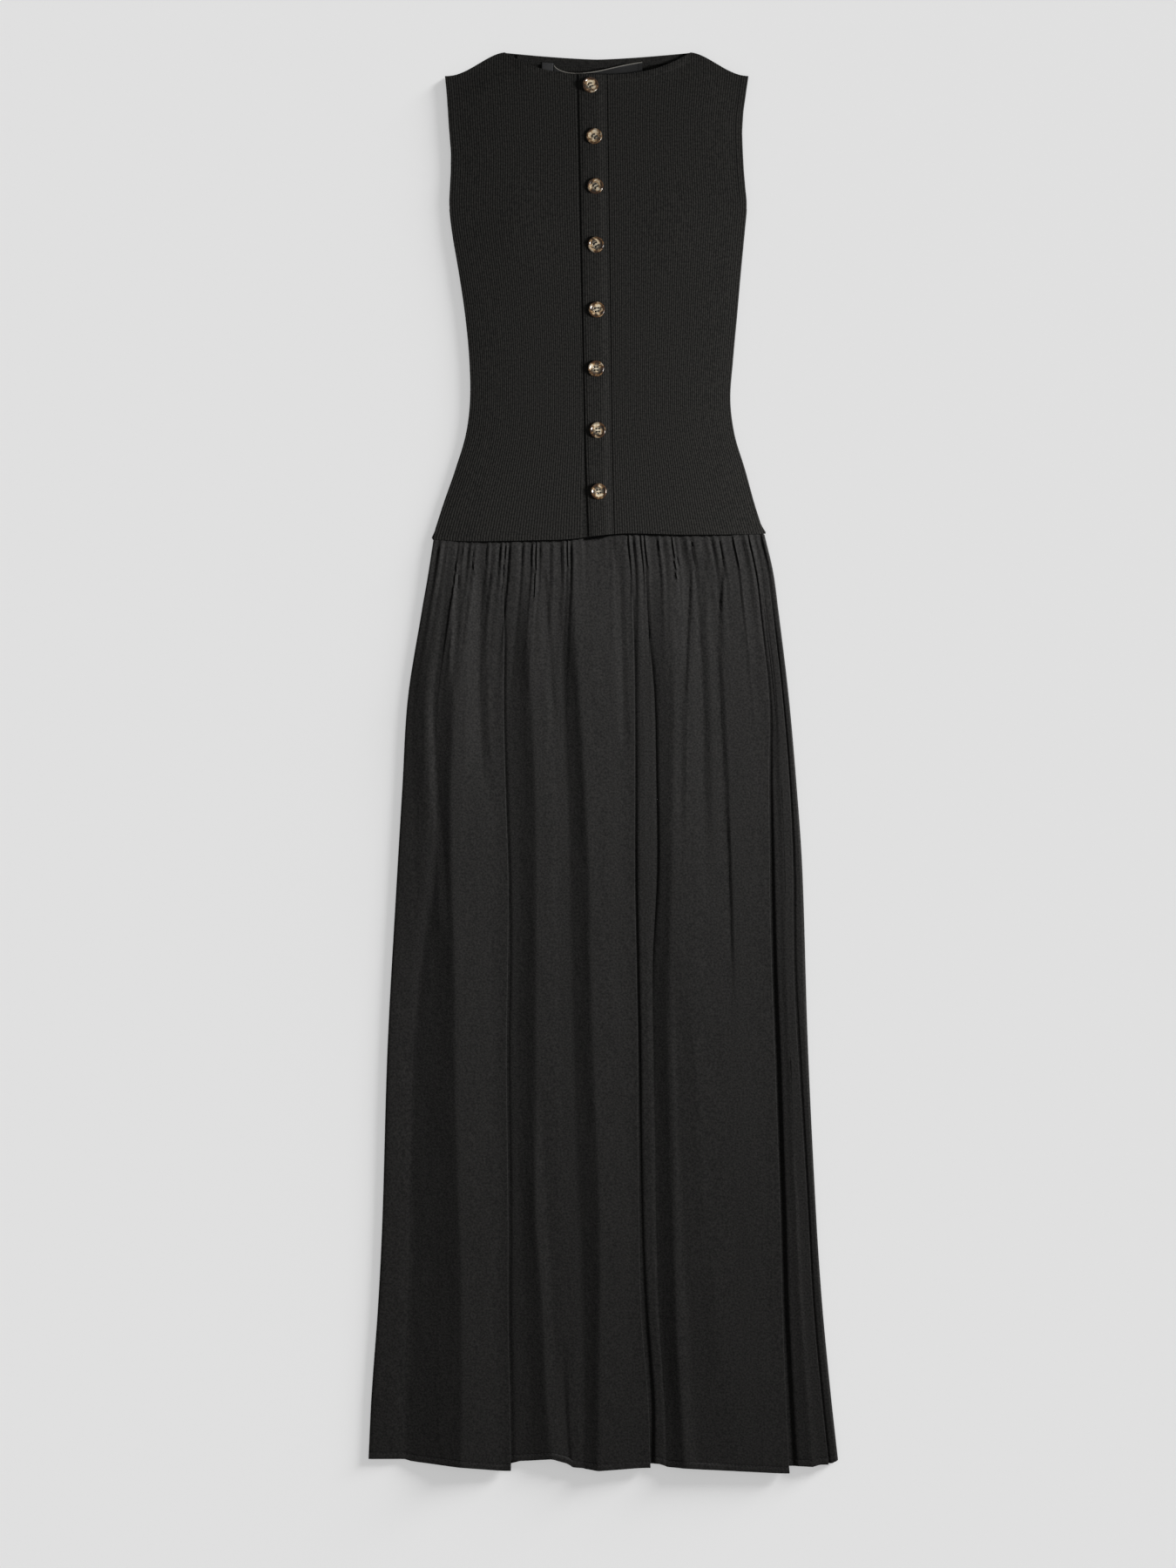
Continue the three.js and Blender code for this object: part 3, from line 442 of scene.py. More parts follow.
def size_at(fold, key, down):
    """One of a fold's heights at a distance down: the same all the way, or with its values at the twelve levels."""
    return shown_at(fold[key], down) if isinstance(fold[key], list) else fold[key]


def is_knife(fold):
    """A knife fold has a crease, an open fold has none."""
    return "crease" in fold


def lead_in(fold, before, start, foot, down):
    """Control points from the plateau before a fold to its foot. At a knife the lip curls up a little and ends in a
    thin edge, the cloth goes back under it, and then come the gap and the shelf. At an open fold they are spaced
    evenly."""
    lip_hem, first = before["hem"][2] if before else fold["hem"][0], fold["hem"][0]
    if not is_knife(fold):
        shelf, fall = size_at(fold, "shelf", down), np.minimum(0.1, 0.004 * (foot - start))
        return [
            (mix(start, foot, 0.62 + 0.06 * k), shelf + fall * (6 - k), mix(lip_hem, first, k / 6)) for k in range(7)
        ]
    crease = skirt_x(shown_at(fold["crease"], down), down) - 1.6
    gap = shown_at(fold["gap"], down) + 0.7
    low, shelf, lip = size_at(fold, "low", down), size_at(fold, "shelf", down), fold["lip"]
    return [
        (crease - LIP_LONG, lip - fold.get("curl", 0), lip_hem), (crease - 0.7, lip, lip_hem), (crease, lip, lip_hem),
        (crease, lip, lip_hem), (crease - 0.3 * OVERLAP, mix(lip, low, 0.6), first),
        (crease - OVERLAP, low, first), (crease + gap, low, first),
        (np.minimum(crease + gap + 0.9, foot - 0.4), shelf, first),
    ]


def front_controls(down):
    """Control points of the front's section, left to right: places and heights in an array each, with a row for each
    distance down, the distances down at the hem, and whether close work follows a point."""
    left, right = skirt_x(0, down) + SATIN / 2, skirt_x(100, down) - SATIN / 2
    first, last = SHOWN[0]["hem"][0], SHOWN[-1]["hem"][2]
    points, start = [(left + SIDE_ROLL["wide"], SIDE_ROLL["top"], first, True)], left + 8
    for before, fold, after in zip([None, *SHOWN], SHOWN, [*SHOWN[1:], None]):
        foot, crest = [skirt_x(shown_at(fold[key], down), down) for key in ("foot", "crest")]
        shelf, top = size_at(fold, "shelf", down), size_at(fold, "top", down)
        begin, high, lip = fold["hem"]
        points += [(*point, is_knife(fold)) for point in lead_in(fold, before, start, foot, down)]
        points.append((foot, shelf + 0.1, mix(begin, high, 0.2), False))
        if "step" in fold:
            shelf = shelf + shown_at(fold["step"], down)
            points.append((foot + 1.1, shelf + 0.1, mix(begin, high, 0.3), True))
        turn = np.minimum(1.1, (crest - foot) / 4)
        points += [(mix(foot, crest, 0.5), mix(shelf, top, 0.42), mix(begin, high, 0.6), False),
                   (crest - turn, mix(shelf, top, 0.94), high, True), (crest + turn, top, high, False)]
        start = crest
        if after:
            knife = is_knife(after)
            end = skirt_x(shown_at(after["crease" if knife else "foot"], down), down)
            end = end - LIP_LONG if knife else mix(crest, end, 0.9)
            level = after["lip"] - after.get("curl", 0) if knife else size_at(after, "shelf", down) + 0.2
            points += [(mix(crest, end, t), mix(top, level, t), mix(high, lip, t), False) for t in (0.12, 0.4, 0.6)]
    foot, tall, grow = SIDE_ROLL["foot"], SIDE_ROLL["foot"] + SIDE_ROLL["tall"], grown(down)
    points = [(x, mix(WAIST_HEIGHT, z, grow), hem, close) for x, z, hem, close in points]
    points = [(left, foot, first, True), (left, tall, first, True), *points, (right, tall, last, True),
              (right, foot, last, True)]
    xs, zs, hems, close = zip(*points)
    xs, zs = [np.stack([np.broadcast_to(value, down.shape) for value in values], 1) for values in (xs, zs)]
    return xs, zs, np.array(hems, float), close


def on_spline(points, along):
    """The uniform cubic B-spline with these control points and held ends, and its slope, at places along it."""
    last = points.shape[-1] - 1
    span = np.minimum(np.floor(along).astype(int), last - 1)
    t = along - span
    s = 1 - t
    weights = [s**3, 3 * t**3 - 6 * t**2 + 4, 3 * s**3 - 6 * s**2 + 4, t**3]
    slopes = [-3 * s**2, 9 * t**2 - 12 * t, 12 * s - 9 * s**2, 3 * t**2]
    near = [points[..., np.clip(span + k, 0, last)] for k in (-1, 0, 1, 2)]
    return sum(w * p for w, p in zip(weights, near)) / 6, sum(w * p for w, p in zip(slopes, near)) / 6


def gather(share, below):
    """Gathers lean to one side: each rises over a fifth of its width and falls slowly over the rest. Two slow waves
    make them uneven in width, a third makes some die away sooner, and the middle has almost none."""
    beat = share * GATHERS["count"] + 0.35 * np.sin(share * 61) + 0.22 * np.sin(share * 137 + 1)
    part = beat - np.floor(beat)
    steep = 0.2 + 0.09 * np.sin(np.floor(beat) * 1.7)
    ridge = np.where(part < steep, smoothstep(part / steep), 1 - smoothstep((part - steep) / (1 - steep)))
    long = GATHERS["fade"] * (1 + 0.45 * np.sin(np.floor(beat) * 2.4))
    calm = smoothstep((share - CALM["from"]) / CALM["edge"]) * smoothstep((CALM["to"] - share) / CALM["edge"])
    lively = 1 - 0.8 * calm
    start = mix(GATHERS["at_seam"], 1, smoothstep(below / GATHERS["start_long"]))
    return lively * ridge * start * np.exp(-((below / long) ** 1.3))


def relief(x, down):
    """Sum of the softer ridges and troughs: each falls off in a straight line to both sides of its path, rounded where
    it ends, and grows and dies away along it."""
    total = np.zeros(np.broadcast(x, down).shape)
    for path_down, percent, height, left, right, (start, end) in RELIEF:
        first, last = path_down[0], path_down[-1]
        run = np.clip((down - first) / (last - first), 0, 1)
        away = x - skirt_x(follow(path_down, percent, down), down)
        wide = np.where(away < 0, mix(*left, run), mix(*right, run))
        side = np.maximum(0, 1 - np.sqrt((away / wide) ** 2 + 0.002))
        total += height * side * smoothstep((down - first) / start + 0.3) * smoothstep((last - down) / end + 0.4)
    return total


def span_steps(longest, close):
    """How many steps each span of the front's section gets, from its widest at the twelve levels."""
    xs, _, _, closely = front_controls(np.asarray(SHOWN_LEVELS, float))
    wide = np.abs(np.diff(xs, axis=1)).max(0)
    return np.maximum(np.where(closely[: len(wide)], close, 1), np.round(wide / longest)).astype(int)


def front_section(v, along, side):
    """Points of the skirt's front at shares down it and places along its section: the section's own point, half a wall
    out along its normal, with the relief, the gathers and the hem's turn on it."""
    down = mix(SKIRT["down"][0], SKIRT["down"][-1], v)
    xs, zs, hems, _ = front_controls(down)
    x, dx = on_spline(xs, along)
    z, dz = on_spline(zs, along)
    hem, _ = on_spline(hems, along)
    long = np.hypot(dx, dz)
    up = dx / long
    row = down[:, None]
    x = x - side * SATIN * dz / long / 2
    across, seam = share_and_seam(x, row)
    y = mix(seam, hem[None, :], v[:, None])
    below, above = y - seam, hem[None, :] - y
    lift = relief(x, row) * grown(row + 60) * np.maximum(0, up)
    z = np.maximum(z + lift, 1.9 - 0.4 * np.exp(-np.abs(lift)))
    if side > 0:
        height = bpy.context.scene.dress_satin.gather_height / MM
        turned = HEM["rise"] * (1 - smoothstep((above - HEM["turn"] + 0.6) / 1.2))
        dent = 0.35 * bell(above, HEM["stitch_up"], HEM["dent_wide"])
        z = z + (height * gather(across, below) + turned - dent) * np.maximum(0, up)
    return x, y, z + side * SATIN * up / 2


def stitches(name, runs, length, gap):
    """Thread on a seam: each stitch is a spindle, five-sided and thin at both ends, bowed up from the path that it
    follows. A run is a row of points in millimetres."""
    profile = np.array([[0, 0.15], [0.12, 0.9], [0.5, 1], [0.88, 0.9], [1, 0.15]])
    sides = np.linspace(0, 2 * math.pi, 6)[:-1]
    points, faces, total = [], [], 0
    for run in runs:
        run = np.asarray(run, float)
        reach = np.concatenate([[0], np.cumsum(np.linalg.norm(np.diff(run, axis=0), axis=1))])
        starts = np.arange(gap, reach[-1] - length, length + gap)
        at = starts[:, None] + profile[None, :, 0] * length
        centre = np.stack([np.interp(at, reach, run[:, k]) for k in range(3)], -1)
        heading = centre[:, -1] - centre[:, 0]
        heading = heading / np.linalg.norm(heading, axis=1)[:, None]
        aside = np.stack([-heading[:, 1], heading[:, 0], np.zeros(len(heading))], -1)
        aside = aside / np.maximum(np.linalg.norm(aside, axis=1), 1e-6)[:, None]
        over = np.cross(heading, aside)
        bow = (THREAD["bow"] * np.sin(math.pi * profile[:, 0]))[None, :, None] * over[:, None]
        spoke = np.cos(sides)[:, None] * aside[:, None, None] + np.sin(sides)[:, None] * over[:, None, None]
        spindle = (centre + bow)[:, :, None] + THREAD["radius"] * profile[None, :, 1, None, None] * spoke
        ids = total + np.arange(spindle[..., 0].size).reshape(spindle.shape[:3])
        faces += ring_quads(ids).tolist() + np.concatenate([ids[:, 0, ::-1], ids[:, -1]]).tolist()
        points.append(spindle.reshape(-1, 3))
        total += ids.size
    return make_object(name, np.concatenate(points), faces)


def tube(name, path, radius, sides, ridge=None):
    """A roll along a path: circles of a radius given at each point, with closed ends. A roll of knit has one value of
    its ribs' height."""
    path = np.asarray(path, float)
    heading = np.gradient(path, axis=0)
    heading = heading / np.linalg.norm(heading, axis=1)[:, None]
    aside = np.stack([-heading[:, 1], heading[:, 0], np.zeros(len(path))], -1)
    aside = aside / np.linalg.norm(aside, axis=1)[:, None]
    over = np.cross(heading, aside)
    turn = np.linspace(0, 2 * math.pi, sides + 1)[:-1]
    reach = np.broadcast_to(radius, len(path))[:, None, None]
    rings = path[:, None] + reach * (np.cos(turn)[:, None] * aside[:, None] + np.sin(turn)[:, None] * over[:, None])
    ids = np.arange(rings[..., 0].size).reshape(rings.shape[:2])
    faces = ring_quads(ids).tolist() + [ids[0, ::-1].tolist(), ids[-1].tolist()]
    length = np.concatenate([[0], np.cumsum(np.linalg.norm(np.diff(path, axis=0), axis=1))])
    uv = cloth_uv(turn / math.pi, length[:, None]).reshape(-1, 2)
    # A knit roll's one value of its ribs' height sets its painted shade.
    return make_object(name, rings, faces, uv, {} if ridge is None else {"ridge": np.full(ids.size, ridge)})


# Materials.


def add(tree, kind, *values, output=0, inputs=None, **settings):
    """Adds a shader node with its settings and gives one of its outputs. Values go to its inputs in order, or by name
    or number in a dictionary, and a value that is a socket gets linked."""
    node = tree.nodes.new("ShaderNode" + kind)
    for key, value in settings.items():
        setattr(node, key, value)
    for key, value in {**dict(enumerate(values)), **(inputs or {})}.items():
        if isinstance(value, bpy.types.NodeSocket):
            tree.links.new(value, node.inputs[key])
        else:
            node.inputs[key].default_value = value
    return node.outputs[output]


def new_material(name, **sockets):
    """A material whose Principled shader has these values, and its node tree, or None where the material is there."""
    material = bpy.data.materials.get(name)
    if material:
        return material, None
    material = bpy.data.materials.new(name)
    material.use_nodes = True
    for key, value in sockets.items():
        material.node_tree.nodes["Principled BSDF"].inputs[key.replace("_", " ")].default_value = value
    return material, material.node_tree


def link_surface(tree, colour, normal=None):
    """Links the colour and the bumped normal to the Principled shader."""
    shader = tree.nodes["Principled BSDF"]
    tree.links.new(colour, shader.inputs["Base Color"])
    if normal is not None:
        tree.links.new(normal, shader.inputs["Normal"])


def shades(colour, dark, light):
    """The two colours of a Mix node, its inputs 6 and 7: one colour made darker and lighter."""
    return {key: (*[min(1.0, c * k) for c in colour[:3]], 1.0) for key, k in ((6, dark), (7, light))}


def weave(node, spacing):
    """Height of crossing threads: a sine each way of the cloth, multiplied. The spacing is in millimetres."""
    ways = node("SeparateXYZ", node("UVMap", uv_map="cloth")).node.outputs[:2]
    turns = [node("Math", way, 2 * math.pi / spacing, operation="MULTIPLY") for way in ways]
    return node("Math", *[node("Math", turn, operation="SINE") for turn in turns], operation="MULTIPLY")


def rib_knit():
    """Rib jersey of black viscose yarn: matt, with a soft bloom of fibre ends, and painted shade between the ribs."""
    knit = bpy.context.scene.dress_knit
    material, tree = new_material("rib jersey, black viscose", Roughness=0.86, IOR=1.46, Sheen_Weight=0.02,
                                  Sheen_Roughness=0.45, Specular_IOR_Level=0.3)
    if tree is None:
        return material
    node = partial(add, tree)
    solid = node("TexCoord", output="Object")
    across, along = node("SeparateXYZ", node("UVMap", uv_map="cloth")).node.outputs[:2]
    # Loops lean towards the middle of each rib, so every course of stitches reads as a small V.
    lean = node("Math", across, 0.5, operation="PINGPONG")
    course = node("Math", along, knit.course / MM, operation="DIVIDE")
    turn = node("Math", node("Math", course, lean, operation="ADD"), 2 * math.pi, operation="MULTIPLY")
    wave = node("Math", turn, operation="SINE")
    # Fibre ends and uneven loops, drawn 1 to 2 mm apart, a little coarser than they are, so that they show.
    fibre = node("MapRange", node("TexNoise", solid, inputs={"Scale": 520, "Detail": 1.5}), 0.34, 0.66)
    # Yarn thickness and the lie of the cloth vary over centimetres.
    drift = node("TexNoise", solid, inputs={"Scale": 14, "Detail": 3})
    # The ribs' height paints shade: the colour is darker in the valleys between ribs than on the ribs.
    ridge = node("Attribute", attribute_name="ridge", output="Fac")
    blend = node("Math", ridge, 0.26, node("Math", fibre, 0.66, operation="MULTIPLY"), operation="MULTIPLY_ADD")
    blend = node("Math", drift, 0.12, blend, operation="MULTIPLY_ADD", use_clamp=True)
    colour = node("Mix", inputs={0: blend, **shades(knit.yarn, 0.2, 1.8)}, output=2, data_type="RGBA")
    height = node("Math", wave, 0.5, fibre, operation="MULTIPLY_ADD")
    link_surface(tree, colour, node("Bump", inputs={"Height": height, "Strength": 0.5, "Distance": 0.12 * MM}))
    return material


def woven_satin():
    """Black viscose satin, woven: long floats make it soft and a little silky, and it is creased from folding."""
    satin = bpy.context.scene.dress_satin
    material, tree = new_material("woven satin, black viscose", Roughness=0.8, IOR=1.48, Sheen_Weight=0.03,
                                  Sheen_Roughness=0.5, Specular_IOR_Level=0.2)
    if tree is None:
        return material
    node = partial(add, tree)
    solid = node("TexCoord", output="Object")
    # Threads are 0.25 mm apart on the real cloth and are drawn wider, so that they show.
    threads = weave(node, satin.thread / MM)
    grain = node("MapRange", node("TexNoise", solid, inputs={"Scale": 540, "Detail": 2}), 0.3, 0.7)
    # Small dents and soft crumples that a packed skirt keeps, 8 to 40 mm across and longer down the cloth.
    tall = node("Mapping", solid, inputs={"Scale": (1, 0.35, 1)})
    crumple = node("TexNoise", tall, inputs={"Scale": 42, "Detail": 4, "Roughness": 0.55})
    drift = node("Math", node("TexNoise", solid, inputs={"Scale": 9, "Detail": 2}), 0.16, operation="MULTIPLY")
    blend = node("Math", grain, 0.84, drift, operation="MULTIPLY_ADD", use_clamp=True)
    colour = node("Mix", inputs={0: blend, **shades(satin.cloth, 0.24, 1.76)}, output=2, data_type="RGBA")
    fine = node("Math", grain, 1.5, threads, operation="MULTIPLY_ADD")
    near = node("Bump", inputs={"Height": fine, "Strength": 0.35, "Distance": 0.08 * MM})
    bump = node("Bump", inputs={"Height": crumple, "Strength": 0.6, "Distance": 1.6 * MM, "Normal": near})
    link_surface(tree, colour, bump)
    return material


def sewing_thread():
    """Spun polyester thread, black: a slight shine on each stitch, and a fine grain of twisted plies."""
    material, tree = new_material("spun polyester thread, black", Roughness=0.75, IOR=1.5)
    if tree is None:
        return material
    node = partial(add, tree)
    ply = node("TexNoise", node("TexCoord", output="Object"), inputs={"Scale": 2600, "Detail": 1})
    black = shades(hex_linear("#191818"), 0.7, 1.4)
    colour = node("Mix", inputs={0: ply, **black}, output=2, data_type="RGBA")
    link_surface(tree, colour, node("Bump", inputs={"Height": ply, "Strength": 0.4, "Distance": 0.08 * MM}))
    return material


def woven_tape(name, body, edge):
    """Woven polyester tape, with threads 0.4 mm apart across it, and paler in a band along its top."""
    material, tree = new_material(name, Roughness=0.6, IOR=1.55)
    if tree is None:
        return material
    node = partial(add, tree)
    at_top = node("MapRange", node("SeparateXYZ", node("UVMap", uv_map="cloth"), output=1), 1.25, 0.75)
    grain = node("TexNoise", node("TexCoord", output="Object"), inputs={"Scale": 700, "Detail": 2})
    # The body's colour, and the paler colour of the band along the top.
    cloth, fold = [
        node("Mix", inputs={0: grain, **shades(hex_linear(code), dark, light)}, output=2, data_type="RGBA")
        for code, dark, light in ((body, 0.7, 1.3), (edge, 0.35, 1.2))
    ]
    colour = node("Mix", inputs={0: at_top, 6: cloth, 7: fold}, output=2, data_type="RGBA")
    bump = node("Bump", inputs={"Height": weave(node, 0.4), "Strength": 0.3, "Distance": 0.06 * MM})
    link_surface(tree, colour, bump)
    return material


def tortoiseshell():
    """Polished cast polyester resin: amber and brown clouds, dark patches, a cream heart and painted shade on the rim.
    """
    look = bpy.context.scene.dress_buttons
    material, tree = new_material("cast polyester resin, tortoiseshell", Roughness=0.2, IOR=1.56, Coat_Weight=0.6,
                                  Coat_Roughness=0.06)
    if tree is None:
        return material
    node = partial(add, tree)
    # Clouds of pigment 3 to 6 mm across.
    clouds = node("TexNoise", node("TexCoord", output="Object"), inputs={"Scale": 190, "Detail": 3, "Distortion": 0.6})
    ramp = node("ValToRGB", clouds)
    elements = ramp.node.color_ramp.elements
    stops = [(0.44, look.dark), (0.49, look.brown), (0.54, look.amber), (0.64, look.cream)]
    while len(elements) < len(stops):
        elements.new(0.5)
    for element, (at, colour) in zip(elements, stops):
        element.position, element.color = at, colour
    heart, rim = [node("Attribute", attribute_name=name, output="Fac") for name in ("heart", "rim")]
    centre = node("Math", clouds, 1.9, operation="MULTIPLY")
    centre = node("Math", heart, centre, operation="MULTIPLY", use_clamp=True)
    pale = node("Mix", inputs={0: centre, 6: ramp, 7: tuple(look.cream)}, output=2, data_type="RGBA")
    # The rim is mixed towards brown all round: painted shade.
    edge = node("Math", rim, 0.6, operation="MULTIPLY")
    link_surface(tree, node("Mix", inputs={0: edge, 6: pale, 7: tuple(look.brown)}, output=2, data_type="RGBA"))
    return material


def lit_pieces(cloth):
    """The collection of the pieces that one lamp lights: those of satin, or all others but the floor."""
    return bpy.data.collections.get(cloth) or bpy.data.collections.new(cloth)


def dress(obj, material, slot, *nodes):
    """Gives a piece its material, sharp edges, lamp and body, and hides the solids that it stands for."""
    obj.data.materials.append(material)
    obj.data.set_sharp_from_angle(angle=math.radians(48))
    lit_pieces("satin_pieces" if slot == "satin" else "knit_pieces").objects.link(obj)
    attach(obj, "root")
    if nodes:
        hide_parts(*nodes)


# Sizes and colours that a user may change.

COLOUR = {"subtype": "COLOR", "size": 4, "min": 0, "max": 1}
LENGTH = {"unit": "LENGTH", "precision": 5}


class DressKnit(bpy.types.PropertyGroup):
    """Yarn and gauge of the rib knit."""

    yarn: bpy.props.FloatVectorProperty(
        name="Yarn colour", description="Colour of the knit at half light", default=hex_linear("#1f1e1c"), **COLOUR)
    rib_height: bpy.props.FloatProperty(
        name="Rib height", description="How far a rib stands above its valleys", default=0.4 * MM, min=0, max=0.6 * MM,
        **LENGTH)
    course: bpy.props.FloatProperty(
        name="Course height", description="Height of one row of stitches", default=1.3 * MM, min=0.4 * MM, max=4 * MM,
        **LENGTH)


class DressSatin(bpy.types.PropertyGroup):
    """Cloth and gathering of the skirt."""

    cloth: bpy.props.FloatVectorProperty(
        name="Cloth colour", description="Colour of the satin", default=hex_linear("#1c1b1a"), **COLOUR)
    gather_height: bpy.props.FloatProperty(
        name="Gather height", description="How far the gathers stand up below the waist seam", default=1.4 * MM, min=0,
        max=3 * MM, **LENGTH)
    thread: bpy.props.FloatProperty(
        name="Thread spacing", description="Distance between the threads as they are drawn", default=0.9 * MM,
        min=0.2 * MM, max=3 * MM, **LENGTH)


class DressButtons(bpy.types.PropertyGroup):
    """Colours of the eight buttons."""

    dark: bpy.props.FloatVectorProperty(
        name="Dark patches", description="The darkest clouds in the resin", default=hex_linear("#1c1109"), **COLOUR)
    brown: bpy.props.FloatVectorProperty(
        name="Brown clouds", description="Clouds between dark and amber, and the rim", default=hex_linear("#4c321c"),
        **COLOUR)
    amber: bpy.props.FloatVectorProperty(
        name="Amber ground", description="The resin's own colour", default=hex_linear("#a88250"), **COLOUR)
    cream: bpy.props.FloatVectorProperty(
        name="Cream heart", description="The pale clouds in the middle", default=hex_linear("#f0e2c6"), **COLOUR)


class DressStage(bpy.types.PropertyGroup):
    """Floor, light and camera."""

    floor: bpy.props.FloatVectorProperty(
        name="Floor colour", description="Colour of the plain floor", default=hex_linear("#e6e6e6"), **COLOUR)
    bodice_lamp: bpy.props.FloatProperty(
        name="Bodice lamp", description="Power of the lamp near the bodice's right side", default=11, min=0, max=200)
    skirt_lamp: bpy.props.FloatProperty(
        name="Skirt lamp", description="Power of the lamp to the upper right of the skirt", default=61, min=0, max=200)
    floor_light: bpy.props.FloatProperty(
        name="Floor light", description="Strength of the even light on the floor", default=1.65, min=0, max=20)
    floor_low_light: bpy.props.FloatProperty(
        name="Low light", description="Strength of the low light that draws the dress's shadow on the floor",
        default=4.7, min=0, max=20)
    sky: bpy.props.FloatProperty(
        name="Soft light", description="Strength of the light from all round", default=0.16, min=0, max=5)
    camera_height: bpy.props.FloatProperty(
        name="Camera height", description="Height of the camera over the floor", default=4, min=1, max=10,
        unit="LENGTH")


# Operators, one for each piece or group of like pieces.


def rib_ridges(count, shares):
    """Ribs as rounded ridges, 0 to 1: |sin|^0.7, with a whole number of them over the shares."""
    return np.abs(np.sin(math.pi * count * shares)) ** 0.7


def knit_panel(left, right, upper, shares, rows):
    """Places across and distances down of a knit panel between two side lines, with its distances from the upper edge
    and from the waist seam: rows close together at both, and even between."""
    edge = upper(mix(left(0.0), right(0.0), shares))
    seam = seam_down(mix(left(float(TOTAL_LENGTH)), right(float(TOTAL_LENGTH)), shares)) - SEAM_GAP
    even = mix(NEAR_EDGE[-1], seam - edge - NEAR_SEAM[0], np.linspace(0, 1, rows)[1:-1, None])
    below = np.vstack([NEAR_EDGE[:, None] + 0 * edge, even, seam - edge - NEAR_SEAM[:, None]])
    down = edge + below
    return mix(left(down), right(down), shares), down, below, seam - down


def neck_slope(x):
    """How steep the front neck's edge is at a place across."""
    out = np.minimum(np.abs(x - NECK["centre"]) / NECK["half"], 1)
    return NECK["front_drop"] * NECK["front_power"] / NECK["half"] * out ** (NECK["front_power"] - 1)


def neck_distance(x, below):
    """Distance from the front neck's edge: the distance down, shortened by the edge's slope, and past the neck's end
    the distance from its tangent."""
    past = np.maximum(np.abs(x - NECK["centre"]) - NECK["half"], 0)
    steep = neck_slope(NECK["centre"] + NECK["half"])
    return below / np.sqrt(1 + neck_slope(x) ** 2) + past * steep / math.sqrt(1 + steep**2)


def turned_edge(distance, share=1.0):
    """An edge that is turned in and stitched: a thicker wall, with a groove along its stitches."""
    fold = TURNED["rise"] * (1 - smoothstep((distance - TURNED["wide"]) / TURNED["fall"]))
    return share * (fold - TURNED["groove"] * bell(distance, TURNED["stitch_in"], TURNED["groove_wide"]))


def knit_front(name, left, right, ribs, ribbed, armhole):
    """One front, ribbed over a share of its width. Neck and armhole edges are turned."""
    shares = np.linspace(0, ribbed, 6 * ribs + 1)
    if ribbed < 1:
        shares = np.append(shares, np.linspace(ribbed, 1, 13)[1:])
    x, down, below, above = knit_panel(left, right, front_neck, shares, 132)
    low = front_underside(x, down)
    shares = np.minimum(shares / ribbed, 1)
    ridge = rib_ridges(ribs, shares) + 0 * down
    from_side = np.abs(x - bodice_side(down, armhole))
    at_armhole = 1 - smoothstep((down - 138) / 16)
    lift = bpy.context.scene.dress_knit.rib_height / MM * ridge
    lift = lift + turned_edge(neck_distance(x, below)) + turned_edge(from_side, at_armhole)
    edges = rounded(below, 0.7) + rounded(from_side, 0.8) + 0.6 * rounded(above, 0.6)
    return wall(name, x, down, low, low + KNIT + lift - edges, cloth_uv(shares * ribs, down), ridge, 6)


class DRESS_OT_stage(bpy.types.Operator):
    """A plain pale floor, soft light that comes mostly from the right, and a camera straight above"""

    bl_idname = "dress.stage"
    bl_label = "Stage"

    def execute(self, context):
        stage = context.scene.dress_stage
        material, tree = new_material("matt painted board", Roughness=0.9, IOR=1.45)
        grain = add(tree, "TexNoise", add(tree, "TexCoord", output="Object"), inputs={"Scale": 700, "Detail": 2})
        paint = shades(stage.floor, 0.985, 1.0)
        link_surface(tree, add(tree, "Mix", inputs={0: grain, **paint}, output=2, data_type="RGBA"))
        half, height = FLOOR["half"], FLOOR["height"]
        corners = np.array([(-half, -half, height), (half, -half, height), (half, half, height), (-half, half, height)])
        floor = make_object("floor", corners, [(0, 1, 2, 3)])
        floor.data.materials.append(material)
        world = bpy.data.worlds.new("studio")
        world.use_nodes = True
        sky = world.node_tree.nodes["Background"]
        sky.inputs["Color"].default_value = (1, 1, 1, 1)
        sky.inputs["Strength"].default_value = stage.sky
        context.scene.world = world
        # The floor's light is even, as on a plain backdrop. Bodice and skirt each have a broad lamp on their right.
        board = bpy.data.collections.new("board")
        board.objects.link(floor)
        lamps = []
        for name, (soft, lean) in SUNS.items():
            sun = bpy.data.lights.new(name, "SUN")
            sun.angle = math.radians(soft)
            lamps.append((name, sun, board, (0, 0, 3), Euler([math.radians(turn) for turn in (0, lean, SUN_HEADING)])))
        for name, lamp in LAMPS.items():
            key = bpy.data.lights.new(name, "AREA")
            key.shape, key.size, key.spread = "DISK", LAMP_SIZE, math.radians(lamp["spread"])
            aim = Vector(lamp["target"]) - Vector(lamp["place"])
            lamps.append((name, key, lit_pieces(lamp["lit"]), lamp["place"], aim.to_track_quat("-Z", "Y").to_euler()))
        # Each light's strength is the stage's value of its name.
        for name, lamp, lit, place, turn in lamps:
            lamp.energy = getattr(stage, name)
            light = bpy.data.objects.new(name, lamp)
            light.location, light.rotation_euler = place, turn
            light.light_linking.receiver_collection = lit
            context.scene.collection.objects.link(light)
        lens = bpy.data.cameras.new("camera")
        lens.sensor_fit, lens.sensor_height = "VERTICAL", 36
        lens.lens = lens.sensor_height * stage.camera_height / FRAME_TALL
        lens.clip_end = 20
        camera = bpy.data.objects.new("camera", lens)
        camera.location = (*FRAME_CENTRE, stage.camera_height)
        context.scene.collection.objects.link(camera)
        context.scene.camera = camera
        context.scene.view_settings.view_transform = "Standard"
        return {"FINISHED"}


